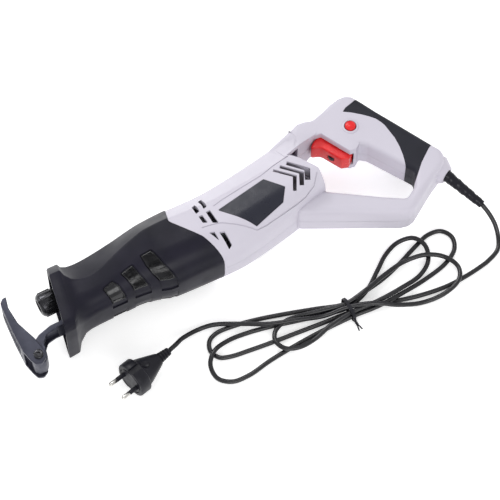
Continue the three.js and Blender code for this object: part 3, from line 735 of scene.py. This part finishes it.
def hollow_shell():
    """Body, handle and neck in one, hollow but for the screw bosses, and open in front."""
    neck = turned("neck", NECK, EXIT, TAIL_WAY)
    neck_hollow = turned("neck_hollow", NECK_HOLLOW, EXIT, TAIL_WAY)
    cheek = rounded_plate("cheek", filleted(CHEEK, 1.5, 3), CHEEK_HALF, 1.2)
    whole = join(long_body("whole", BODY), loop("loop"), neck, cheek, shoulder())
    hollow = long_body("hollow", [*BODY[:-1], (296, *BODY[-1][1:])], WALL, 12)
    hollow = join(hollow, loop("loop_hollow", WALL), neck_hollow)
    for x, y in SCREWS:
        deep = BOSS_IN_HANDLE if x > 300 or y < -43.5 else BOSS_IN_BODY
        hollow = cut(hollow, post(BOSS_R, (x, y), MID - deep, MID + deep, 20))
    whole = cut(whole, hollow)
    whole = cut(whole, prism(beside_boot_edge(0, GAP)), prism(REAR_SPACE))
    return join(whole, meet(prism(REAR_WALL, 5, 75), long_body("inside", BODY, 1, 12)))


def with_openings(whole):
    """The shell with screw holes, vents, beds for plates and skins, and ways for the controls."""
    for place in SCREWS:
        driver_hole = post(DRIVER_R, place, BELOW, MID - 12, 20)
        whole = cut(whole, driver_hole, post(SCREW_R, place, BELOW, MID + 10.4, 16))
    for outline in SLOTS:
        whole = cut(whole, *both_sides(filleted(outline, 0.6, 2)))
    for corners, width in CHEVRONS:
        whole = cut(whole, *both_sides(bent_slot(corners, width)))
    bed = filleted(offset_outline(BADGE, -GAP), 1.0, 3)
    whole = cut(whole, cut(prism(bed), long_body("bed_floor", BODY, 1)))
    whole = cut(whole, grip_bed(1.9, GAP))
    whole = cut(whole, *[trigger_way(d) for d in (0, TRIGGER_TRAVEL / 2, TRIGGER_TRAVEL)])
    whole = join(whole, turned("rim", LOCK_RIM, (*LOCK, MID + 16.5), UP))
    whole = cut(whole, post(LOCK_R, LOCK, MID, ABOVE))
    whole = cut(whole, turned("way_out", [(-9, 7.2), (3, 6.6)], EXIT, EXIT_WAY))
    return cut(whole, engraved(PANEL_LINE, 0.9, 0.5), engraved(UPPER_LINE, 0.8, 0.4))


def housing_halves(plastic):
    for thing, side in halves(with_openings(hollow_shell())):
        finished(smooth(thing), f"housing_shell_{side}", "saw_body", plastic, "housing", f"housing_{side}")


def grip_pads(rubber):
    whole = meet(cut(loop("pad"), loop("pad_floor", 1.7)), prism(PAD_REGION))
    for thing, side in halves(whole):
        finished(smooth(thing), f"grip_skin_{side}", "saw_body", rubber, "grip_rubber", f"grip_pad_{side}")


def badges(plastic):
    # each plate is a thin layer that follows the body, down over the lower facet
    outline = filleted(BADGE, 0.8, 3)
    for side, low, high in (("left", MID, ABOVE), ("right", BELOW, MID)):
        layer = cut(long_body("layer", BODY, 0.1), long_body("core", BODY, 0.75))
        plate = meet(layer, prism(outline, low, high))
        finished(smooth(plate), f"badge_face_{side}", "saw_body", plastic, "plate", f"badge_plate_{side}")


# ---- rubber boot
FLANGE = [
    (5, 0.2, 23.2, -51.2, 35.2, 15, 15, 9), (5.9, 0.2, 24, -52, 36, 15, 15, 10),
    (15.8, 0.2, 24, -51.3, 35.7, 15, 15, 10), (17, 0.2, 23.4, -50.6, 35.1, 15, 15, 9),
]
BOOT_WALL, BOOT_WALL_REAR = 4.0, 3.6
REAR_FROM = 110       # the boot's wall is the thinner one behind this X
# Each pocket: its outline, which runs on past the lower edge, and the heights above the floor
# at which its ledge and its glossy window end.
POCKETS = [
    ([(48.9, -26), (62.2, -22.6), (66.8, -29), (69.7, -38.3), (69.9, -52), (54, -52),
      (53.2, -37.3)], 45.5, 53.5),
    ([(71.2, -20.3), (87.1, -17.4), (90, -28.5), (95.1, -40), (95.6, -54), (79, -54), (77.4, -35),
      (74.9, -27.7)], 46, 57.5),
    ([(97, -13.6), (109.7, -13.4), (111.8, -19), (115.9, -34.1), (119.8, -41.1), (121.8, -46), (122, -58),
      (106.5, -58), (104.5, -41.1), (100.5, -34.6), (97.6, -25.5)], 44, 59.5),
]
LEDGE_DEPTH = 1.3
WINDOW_DEPTH = 3.4


def sunk(points, depth, low, side):
    """The space over a depth under the boot's own surface, inside an outline and above a height."""
    span = (low, ABOVE) if side == "left" else (BELOW, 2 * MID - low)
    return cut(prism(points, *span), long_body("under", BOOT, depth, 8))


def nose_boot(rubber, gloss):
    outside = [section(s, 0, 2.5) for s in FLANGE] + [section(s, 0, 3.0) for s in eased(BOOT, 5)]
    boot = skin("boot", outside)
    inner = [(0, *FLANGE[1][1:]), *FLANGE[1:3], *BOOT[:-1], (182, *BOOT[-1][1:])]
    hollow = skin("hollow", [section(s, BOOT_WALL if s[0] < REAR_FROM else BOOT_WALL_REAR) for s in inner])
    boot = cut(boot, hollow, prism(beside_boot_edge(220)))
    for number, (outline, ledge, window) in enumerate(POCKETS, 1):
        whole = filleted(outline, 2.4, 4)
        deep = offset_outline(whole, 0.8)
        for side in ("left", "right"):
            boot = cut(boot, sunk(whole, LEDGE_DEPTH, ledge, side), sunk(deep, WINDOW_DEPTH, window, side))
            glass = sunk(offset_outline(deep, 0.25), WINDOW_DEPTH - 0.15, window + 0.3, side)
            glass = meet(glass, long_body("over", BOOT, 0.7, 8))
            dish = sunk(offset_outline(deep, 1.15), WINDOW_DEPTH - 1.3, window + 1.2, side)
            glass = cut(glass, dish)
            finished(smooth(glass, 40), f"boot_window_{number}_{side}", "saw_body", gloss, "black_plastic")
    finished(smooth(boot, 38), "nose_boot_skin", "saw_body", rubber, "boot_rubber", "nose_boot")


# ---- trigger and buttons
DIAL = (330.2, 11.6)
DIAL_R = 4.2


def along_grip(start, along, inwards):
    return (
        start[0] + GRIP[0] * along + PULL[0] * inwards,
        start[1] + GRIP[1] * along + PULL[1] * inwards,
    )


def trigger(plastic):
    outline = filleted(TRIGGER, TRIGGER_RADII, 5)
    body = rounded_plate("trigger", outline, TRIGGER_HALF, 1.6)
    well = post(DIAL_R + 0.6, DIAL, MID - 3, MID + 3)
    mouth = [along_grip(DIAL, s, d) for s, d in ((-4, -9), (4, -9), (4, 0), (-4, 0))]
    way_out = prism(mouth, MID - 3, MID + 3)
    body = cut(body, well, way_out)
    # a shallow dished panel on each flank, and a slit along its inner edge
    panel = [along_grip((331.5, 24.5), s, d) for s, d in ((-3, -2.5), (22, -1), (22, 8.5), (-3, 8.5))]
    slit = [along_grip((336.8, 27.2), s, d) for s, d in ((0, 0), (15, 0), (15, 1.5), (0, 1.5))]
    for shape, deep in ((filleted(panel, 2), 0.6), (filleted(slit, 0.5, 2), 1.6)):
        body = cut(body, prism(shape, MID + TRIGGER_HALF - deep, ABOVE))
        body = cut(body, prism(shape, BELOW, MID - TRIGGER_HALF + deep))
    # fine ribs across the finger's place
    for i in range(5):
        x, y = along_grip((322.4, 18.6), 3.2 * i - 2, -0.2)
        body = cut(body, post(0.45, (x, y), MID - 6.5, MID + 6.5, 12))
    finished(smooth(body, 35), "trigger_grip", "trigger", plastic, "red_plastic", "trigger")


def speed_dial(plastic):
    rings = []
    teeth = 24
    for rise, radius in ((-2.5, DIAL_R - 0.4), (-2.1, DIAL_R), (2.1, DIAL_R), (2.5, DIAL_R - 0.4)):
        ring = []
        for i, (c, s) in enumerate(round_about(4 * teeth)):
            r = radius - (0.28 if i % 4 in (2, 3) else 0)
            ring.append((DIAL[0] + r * c, DIAL[1] + r * s, MID + rise))
        rings.append(ring)
    dial = smooth(skin("dial", rings), 25)
    finished(dial, "speed_dial_wheel", "speed_dial", plastic, "black_plastic", "speed_dial")


def lock_button(plastic):
    top = MID + 21.4
    cap = [
        (1.9, 5.6), (1.2, 5.4), (0.7, 4.9), (0.55, 4.4), (0.75, 4.1), (0.6, 3.7), (0.3, 2.6),
        (0.1, 1.3), (0, 0.3),
    ]
    foot = [(MID + 9, 7), (MID + 11, 7), (MID + 11.01, 5.6)]
    profile = foot + [(top - down, radius) for down, radius in cap]
    button = turned("button", profile, (*LOCK, 0), UP)
    finished(smooth(button, 50), "lock_button_cap", "lock_button", plastic, "red_plastic", "lock_button")


# ---- blade holder
CHUCK_X = -9.0
PLUNGER_R = 7.0


def along_x(name, profile):
    return turned(name, [(CHUCK_X + x, r) for x, r in profile], (0, 0, MID), (1, 0, 0), 64)


def blade_holder(metal):
    spindle = along_x("spindle", [
        (1, 5.4), (1.8, 6.2), (20.4, 6.2), (20.41, 11.2), (21, 12.1), (21.8, 12.7), (23.4, 12.8),
        (24, 12.1), (24.8, 12.1), (25.4, 12.8), (30.4, 12.8), (31.4, 12.3), (32.6, 11.2), (33, 10.6),
    ])
    slot = block(CHUCK_X - 1, CHUCK_X + 17, -4.6, 4.6, MID - 0.8, MID + 0.8)
    bore = bar(PLUNGER_R + GAP, (CHUCK_X + 22.7, 0, MID), (CHUCK_X + 40, 0, MID))
    spindle = cut(spindle, slot, bore)
    finished(smooth(spindle, 35), "chuck_spindle", "plunger", metal, "black_metal", "chuck_body")
    collar = along_x("collar", [
        (0, 8.6), (0.3, 9.3), (1.2, 10.6), (2.2, 11.5), (3, 11.9), (3.9, 12), (17, 12), (17.6, 11.8),
        (18.6, 11.3), (19.3, 10.9), (19.6, 10.4),
    ])
    ribs = 12
    for i in range(ribs):
        corners = ((3.4, -1.2), (16.2, -1.2), (16.2, 1.2), (3.4, 1.2))
        outline = [(CHUCK_X + x, y) for x, y in corners]
        rib = rounded_plate("rib", filleted(outline, 1.1, 4), 0.9, 0.45, 3, middle=11.9)
        turn = Matrix.Rotation(2 * pi * i / ribs, 4, "X")
        rib.data.transform(Matrix.Translation((0, 0, MID)) @ turn)
        collar = join(collar, rib)
    collar = cut(collar, bar(6.5, (CHUCK_X - 1, 0, MID), (CHUCK_X + 21, 0, MID)))
    finished(smooth(collar, 40), "release_sleeve", "collar", metal, "black_metal", "release_collar")


# ---- shoe
PIVOT = (-34, -54.4)
PIVOT_BORE = 3.4
ARM_SIDE = [
    (8, -28.5), (-10, -28.7), (-24, -32.5), (-31, -37), (-34, -46.4), (-41.4, -51), (-41.4, -58),
    (-38, -62), (-30, -62), (-26, -57), (-23, -43), (-17, -36.2), (-8, -34.5), (8, -34.5),
]
ARM_RADII = [0, 8, 8, 4, 5, 3, 3, 3, 4, 5, 6, 5, 4, 0]
SHOE_SIDE = [
    (-35, 17.5), (-39, 17), (-42.8, 13.5), (-43.6, 9), (-45.6, -20), (-46, -44), (-43.4, -56),
    (-41, -62.4), (-35.5, -64.6), (-29.6, -61), (-26.6, -53.6), (-29.6, -37), (-37, -14), (-38, 5),
]
SHOE_RADII = [1, 2, 2, 3, 6, 6, 4, 3, 4, 4, 4, 8, 8, 3]
SHOE_INSIDE = [
    (-30, 30), (-33, 17), (-39.4, 13.4), (-41.2, 8), (-43.2, -20), (-43.4, -44), (-50, -46),
    (-50, -70), (-20, -70), (-20, 30),
]
SHOE_INSIDE_RADII = [0, 2, 2, 2, 4, 1.5, 0, 0, 0, 0]


def shoe_arm(paint):
    side = filleted(ARM_SIDE, ARM_RADII, 5)
    fork = rounded_plate("fork", side, 11, 0.8, 3)
    channel = meet(block(-38, -4, -70, -31.8, MID - 8, MID + 8), block(-24.5, 9, -60, -31.8, 0, 80))
    tongue = block(7, 104, -34.5, -28.5, MID - 8, MID + 8)
    bore = post(PIVOT_BORE, PIVOT, 0, 2 * MID)
    arm = cut(join(fork, tongue), channel, bore)
    finished(smooth(arm, 35), "shoe_arm_fork", "shoe_arm", paint, "shoe_metal", "shoe_arm")


def shoe(paint):
    side = filleted(SHOE_SIDE, SHOE_RADII, 5)
    body = rounded_plate("shoe", side, 17, 1.0)
    inside = filleted(SHOE_INSIDE, SHOE_INSIDE_RADII, 4)
    body = cut(body, prism(inside, MID - 13.6, MID + 13.6))
    way = filleted([(-36, MID - 5), (10, MID - 5), (10, MID + 5), (-36, MID + 5)], 2.5, 4)
    body = cut(body, skin("way", [[(x, y, z) for y, z in way] for x in (-50, -38)]))
    body = cut(body, post(PIVOT_BORE, PIVOT, 0, 2 * MID))
    # a shallow pressed channel along each prong of the face
    for low, high in ((MID - 13, MID - 8.6), (MID + 8.6, MID + 13)):
        ring = filleted([(-38, low), (8, low), (8, high), (-38, high)], 1.8, 4)
        body = cut(body, skin("press", [[(x - y * 0.066, y, z) for y, z in ring] for x in (-60, -43.9)]))
    finished(smooth(body, 35), "shoe_plate", "shoe", paint, "shoe_metal", "shoe")


def shoe_pin(metal):
    profile = [
        (-18.4, 4.0), (-18.1, 4.6), (-17.3, 4.6), (-17.29, 3.1), (17.3, 3.1), (17.31, 4.8),
        (18.6, 4.8), (19.0, 4.5), (19.2, 4.0),
    ]
    pin = turned("pin", [(MID + rise, radius) for rise, radius in profile], (*PIVOT, 0), UP)
    pin = cut(pin, post(2, PIVOT, MID + 18, MID + 21, 6))
    finished(smooth(pin, 35), "shoe_pin_screw", "shoe_arm", metal, "black_metal", "shoe_pin")


# ---- lead and plug
ROUTE = [
    (440, -104.8, 27.8), (443.2, -113.5, 21.4), (445, -124.5, 13), (442.6, -136.4, 4.6),
    (436, -146, 2.7), (421, -152.5, 2.6), (408, -155, 2.6), (394, -156.6, 2.5), (371, -157.5, 2.5),
    (340, -153.5, 2.5), (305, -144.5, 2.5), (268, -136.8, 3.5),
    # first loop to the nose
    (240, -134, 3), (212, -131, 2.5), (186, -128.5, 2.5), (161, -125.5, 2.5), (139.5, -122.2, 2.5),
    (129.4, -117.8, 2.5), (125, -107.5, 2.5), (129.4, -97.2, 2.5), (139.5, -92.8, 2.5),
    (162, -94.5, 2.5), (185, -99.5, 2.5), (214, -108, 2.5), (240, -116.5, 2.5), (268, -126, 3.5),
    # first loop to the tail
    (292, -123.5, 3), (318, -119, 2.5), (342, -111.5, 2.5), (364, -103, 2.5), (382, -97.5, 2.5),
    (396, -100, 2.5), (402.5, -111, 2.5), (398, -124, 2.5), (382, -134, 2.5), (355, -140, 2.5),
    (325, -144, 6), (296, -145.5, 7), (268, -142.2, 4.5),
    # second loop to the nose
    (235, -141, 2.5), (200, -142.5, 2.5), (172, -145, 2.5), (146, -149, 2.5), (128, -147, 2.5),
    (117, -137, 3), (117, -122.5, 6), (127, -111.5, 7.5), (145, -106.5, 4.5), (168, -107.5, 2.5),
    (192, -112.5, 2.5), (218, -119.5, 2.5), (243, -126, 3), (268, -131.4, 5),
    # second loop to the tail
    (292, -126, 7.5), (316, -109, 4.5), (333, -96.5, 2.5), (350, -91, 4), (366, -95.5, 7),
    (372, -109, 7), (367, -123.5, 3.5), (351, -134.5, 5), (325, -140, 9.5), (297, -141.5, 10),
    (268, -139.5, 9),
    # third loop to the nose
    (244, -141.5, 8), (222, -146.5, 5.5), (204, -147.5, 6.5), (190.5, -142, 7.5), (186, -131, 7.5),
    (191.5, -120.5, 6.5), (205, -116, 7.5), (224, -118, 6.5), (246, -123.5, 7), (268, -128.7, 9.5),
    # third loop to the tail
    (293, -126, 12.5), (318, -118.5, 8), (343, -114.5, 7), (366, -119, 9.5), (383, -130, 7.5),
    (389.5, -145, 6), (382, -158.5, 7.5), (363, -164, 4.5), (338, -161.5, 2.5), (314, -154.5, 8),
    (292, -144, 14.5), (268, -134.1, 11.5),
    # out to the plug
    (242, -129, 7), (215, -121.5, 10.5), (188, -111.5, 10), (165, -97.5, 7.5), (141, -84.6, 5.6),
    (125, -81, 3.4), (106, -84, 8), (95.5, -89.4, 13.2), (87.2, -92.6, 15),
]
CORD_STEP = 2.0       # millimetres between the points of the visible lead


def smooth_path(points, step):
    """Centripetal Catmull-Rom through the points, cut into steps of one length."""
    rows = [Vector(p) for p in points]
    rows = [2 * rows[0] - rows[1], *rows, 2 * rows[-1] - rows[-2]]
    fine = []
    for p0, p1, p2, p3 in zip(rows, rows[1:], rows[2:], rows[3:]):
        t1 = (p1 - p0).length ** 0.5
        t2 = t1 + (p2 - p1).length ** 0.5
        t3 = t2 + (p3 - p2).length ** 0.5
        for k in range(12):
            t = t1 + (t2 - t1) * k / 12
            a1 = p0.lerp(p1, t / t1)
            a2 = p1.lerp(p2, (t - t1) / (t2 - t1))
            a3 = p2.lerp(p3, (t - t2) / (t3 - t2))
            fine.append(a1.lerp(a2, t / t2).lerp(a2.lerp(a3, (t - t1) / (t3 - t1)), (t - t1) / (t2 - t1)))
    fine.append(rows[-2])
    lengths = [0.0]
    for a, b in zip(fine, fine[1:]):
        lengths.append(lengths[-1] + (b - a).length)
    count = round(lengths[-1] / step)
    out, k = [], 0
    for i in range(count + 1):
        want = lengths[-1] * i / count
        while k < len(fine) - 2 and lengths[k + 1] < want:
            k += 1
        out.append(fine[k].lerp(fine[k + 1], (want - lengths[k]) / (lengths[k + 1] - lengths[k])))
    return out, lengths[-1]


def tube_curve(name, path, radius, resolution=5):
    curve = bpy.data.curves.new(name, "CURVE")
    curve.dimensions = "3D"
    curve.bevel_depth = radius
    curve.bevel_resolution = resolution
    curve.use_fill_caps = True
    spline = curve.splines.new("POLY")
    spline.points.add(len(path) - 1)
    for point, place in zip(spline.points, path):
        point.co = (*place, 1)
    spline.use_smooth = True
    return object_of(name, curve)


RELIEF_LENGTH = 46.3


def strain_relief(rubber):
    way = Vector(EXIT_WAY).normalized()
    profile = [(-7, 6.3), (1.4, 6.3), (2.2, 6.1)]
    steps = 36
    for i in range(steps + 1):
        t = i / steps
        wave = 0.22 * sin(5 * t * pi * 2) * (1 - 0.5 * t)
        profile.append((3 + t * (RELIEF_LENGTH - 4.2), 6.0 - 1.75 * t + wave))
    profile += [(RELIEF_LENGTH - 0.6, 4.3), (RELIEF_LENGTH, 3.7)]
    relief = turned("relief", profile, EXIT, way, 56)
    # wrinkles run round it on a slant
    for vertex in relief.data.vertices:
        out = vertex.co - Vector(EXIT)
        along = out.dot(way)
        if along < 3:
            continue
        across = out - way * along
        turn = atan2(across.cross(Vector(UP)).dot(way), across.z)
        fold = sin(3 * turn + along * 0.42) * sin(along * 0.9 + 2 * turn)
        vertex.co += across.normalized() * 0.28 * fold
    finished(smooth(relief, 60), "relief_sleeve", "saw_body", rubber, "plug_body", "strain_relief")
    return relief


PLUG_TAIL = Vector((86.5, -93, 15.2))
PLUG_FACE = Vector((37.2, -105.6, 19.3))
PIN_SPACING = 19.0
# Along the pin from the plug's face, and radius: the metal, and the sleeve round its root.
PIN = [
    (-6, 1.8), (9.6, 1.8), (9.61, 2.15), (9.9, 2.35), (16.8, 2.35), (17.9, 2.1), (18.6, 1.5), (19, 0.6),
]
SLEEVE = [(-5.8, 2.1), (-5.6, 2.3), (8.9, 2.3), (9.3, 2.0), (9.5, 1.85)]


def plug_matrix(origin):
    """Local axes of the plug: X across the pins, Z out of the face."""
    way = (PLUG_FACE - PLUG_TAIL).normalized()
    side = Vector((way.y, -way.x, 0)).normalized()
    up = way.cross(side)
    turn = Matrix((side, up, way)).transposed().to_4x4()
    return Matrix.Translation(origin) @ turn


def plug_body(length):
    """The plug's outside, out of slightly squared ovals: along it, half width and half height."""
    sizes = [(0.3, 3.6, 3.6), (0.7, 4.1, 4.1)]
    for i in range(4):
        start = 1.2 + 3.1 * i
        r = 4.2 + 0.35 * i
        for along, more in ((0, 0), (1.7, 0.1), (1.9, -0.9), (2.9, -0.8)):
            sizes.append((start + along, r + more, r + more))
    sizes += [
        (13.7, 6.2, 5.8), (16, 7.4, 6.5), (22, 9.9, 7.8), (30, 13.2, 9.6), (35, 15.0, 11.2),
        (37.6, 15.6, 12.6), (38.2, 16.6, 15.4), (38.9, 17.7, 17.4), (39.8, 18.2, 18.1),
        (length - 1.4, 18.2, 18.1), (length - 0.5, 17.8, 17.7), (length, 17.0, 16.9),
    ]
    rings = []
    for along, wide, high in sizes:
        ring = []
        for c, s in round_about(72):
            x = wide * copysign(abs(c) ** 0.92, c)
            y = high * copysign(abs(s) ** 0.92, s)
            ring.append((x, y, along))
        rings.append(ring)
    return skin("plug", rings)


def plug(rubber):
    length = (PLUG_FACE - PLUG_TAIL).length
    body = plug_body(length)
    # grip hollows above and below, notches in the rim, a step in the face
    for side in (1, -1):
        hollow = [(-6, 0.5), (-5, 3.4), (-3, 5), (0, 5.8), (3, 5), (5, 3.4), (6, 0.5)]
        scoop = turned("scoop", hollow, (0, side * 13.4, 30.5), UP, 32)
        body = cut(body, scoop)
        notch = filleted([(-3, 15.2), (3, 15.2), (4, 21), (-4, 21)], 0.8, 3)
        body = cut(body, prism([(x, side * y) for x, y in notch], 37, length + 2))
    face_ring = post(14.6, (0, 0), length - 0.8, length + 2, 48)
    face_ring = cut(face_ring, post(13.2, (0, 0), length - 2, length + 4, 48))
    body = cut(body, face_ring)
    for side in (1, -1):
        x = side * PIN_SPACING / 2
        body = cut(body, post(2.6, (x, 0), length - 6.4, length + 3, 24))
    body.data.transform(plug_matrix(PLUG_TAIL))
    finished(smooth(body, 38), "plug_body", "saw_body", rubber, "plug_body", "plug")
    return body


def plug_pins(metal, sleeve_plastic):
    made = []
    for number, side in ((1, 1), (2, -1)):
        centre = (side * PIN_SPACING / 2, 0, 0)
        pin = turned("pin", PIN, centre, UP, 32)
        sleeve = turned("sleeve", SLEEVE, centre, UP, 32)
        sleeve = cut(sleeve, turned("hole", [(-8, 1.83), (12, 1.83)], centre, UP, 32))
        for thing, name, material, slot, nodes in (
            (pin, f"plug_pin_metal_{number}", metal, "nickel", [f"plug_pin_{number}"]),
            (sleeve, f"plug_pin_sleeve_{number}", sleeve_plastic, "plug_body", []),
        ):
            thing.data.transform(plug_matrix(PLUG_FACE))
            made.append(finished(smooth(thing, 35), name, "saw_body", material, slot, *nodes))
    return made


TIE_X = 268
TIE_HALF = 1.7        # half the ribbon's width
TIE_THICK = 0.7
# Round the strands, seen along the lead: across it and above the floor.
TIE_ROUND = [(-146.5, 0.6), (-146.5, 11), (-139, 14.4), (-127, 14.4), (-121.9, 10), (-121.9, 0.6)]
TIE_RADII = [2, 3, 4, 4, 3, 2]


def twist_tie(plastic):
    """A flat ribbon round the strands, its two ends twisted together beside them."""
    outside = filleted(TIE_ROUND, TIE_RADII, 5)
    count = len(outside)
    bm = bmesh.new()
    rows = []
    for outline in (outside, offset_outline(outside, TIE_THICK)):
        for x in (TIE_X - TIE_HALF, TIE_X + TIE_HALF):
            rows.append([bm.verts.new((x, y, z)) for y, z in outline])
    order = (rows[0], rows[1], rows[3], rows[2])
    for one, two in zip(order, (*order[1:], order[0])):
        for i in range(count):
            j = (i + 1) % count
            bm.faces.new((one[i], one[j], two[j], two[i]))
    band = from_bmesh("band", bm)
    ends = []
    for phase in (0, pi):
        ring_path = []
        for i in range(25):
            t = i / 24
            angle = phase + 5 * pi * min(t, 0.6)
            spread = 0.9 + (2.4 * (t - 0.6) if t > 0.6 else 0)
            ring_path.append((
                TIE_X + spread * cos(angle), -147.2 - 11.5 * t,
                3.4 + spread * sin(angle) * (1 - 0.5 * t),
            ))
        ends.append(applied(tube_curve("end", ring_path, 0.75, 3)))
    bm = bmesh.new()
    for thing in (band, *ends):
        bm.from_mesh(thing.data)
        bpy.data.objects.remove(thing)
    tie = from_bmesh("tie", bm)
    finished(smooth(tie, 40), "twist_tie", "saw_body", plastic, "black_plastic", "cord_tie")
    return tie


def mains_lead(sheath):
    path, length = smooth_path(ROUTE, CORD_STEP)
    lead = tube_curve("mains_lead", [metres(p) for p in path], CORD_D / 2000, 6)
    lead.data.materials.append(sheath)
    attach(lead, "saw_body")
    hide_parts("power_cord", "cord_hank", "cord_tail")


# ---- pieces carried over from the frame
def carry_over():
    steel = turned_steel("ground_steel", (0.55, 0.56, 0.58), 0.3)
    brass = turned_steel("turned_brass", (0.62, 0.45, 0.18), 0.3)
    alloy, stack, copper = cast_alloy(), sheet_stack(), winding()
    black, rubber = moulded_black("inner_black"), boot_rubber()
    uses = (
        (alloy, "gear_case gear_cover"),
        (steel, "plunger crank_gear gear_shaft gear_bearing crank_pin crank_roller"),
        (steel, "armature_shaft bearing_front bearing_rear"),
        (steel, " ".join(f"housing_screw_{i + 1}" for i in range(len(SCREWS)))),
        (brass, "front_bushing brush_holder_left brush_holder_right"),
        (stack, "armature_core stator_core"),
        (copper, "commutator field_coil_upper field_coil_lower"),
        (black, "fan brush_left brush_right switch_module capacitor"),
        (rubber, "plunger_seal"),
    )
    for node, material in [(node, material) for material, nodes in uses for node in nodes.split()]:
        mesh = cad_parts[node].data
        mesh.materials.clear()
        mesh.materials.append(material)


def make_floor():
    bm = bmesh.new()
    bmesh.ops.create_grid(bm, x_segments=1, y_segments=1, size=6)
    floor = from_bmesh("floor", bm)
    floor.location.z = -0.0001
    floor.data.materials.append(floor_paper())


make_camera()
make_lights()
make_floor()
relief_piece = strain_relief(moulded_black("relief_gloss", (0.12, 0.3)))
plug_rubber = moulded_black("plug_rubber", (0.34, 0.5))
cord_pieces = [
    relief_piece, twist_tie(plug_rubber), plug(plug_rubber),
    *plug_pins(turned_steel("nickel_plate", (0.7, 0.69, 0.66), 0.22), plug_rubber),
]
mains_lead(cord_sheath())
housing_halves(shell_plastic())
grip_pads(grip_rubber())
badges(plate_gloss())
nose_boot(boot_rubber(), pocket_gloss())
red = red_gloss()
trigger(red)
lock_button(red)
speed_dial(moulded_black("dial_black"))
oxide = black_oxide()
blade_holder(oxide)
shoe_pin(oxide)
paint = shoe_paint()
shoe_arm(paint)
shoe(paint)
carry_over()
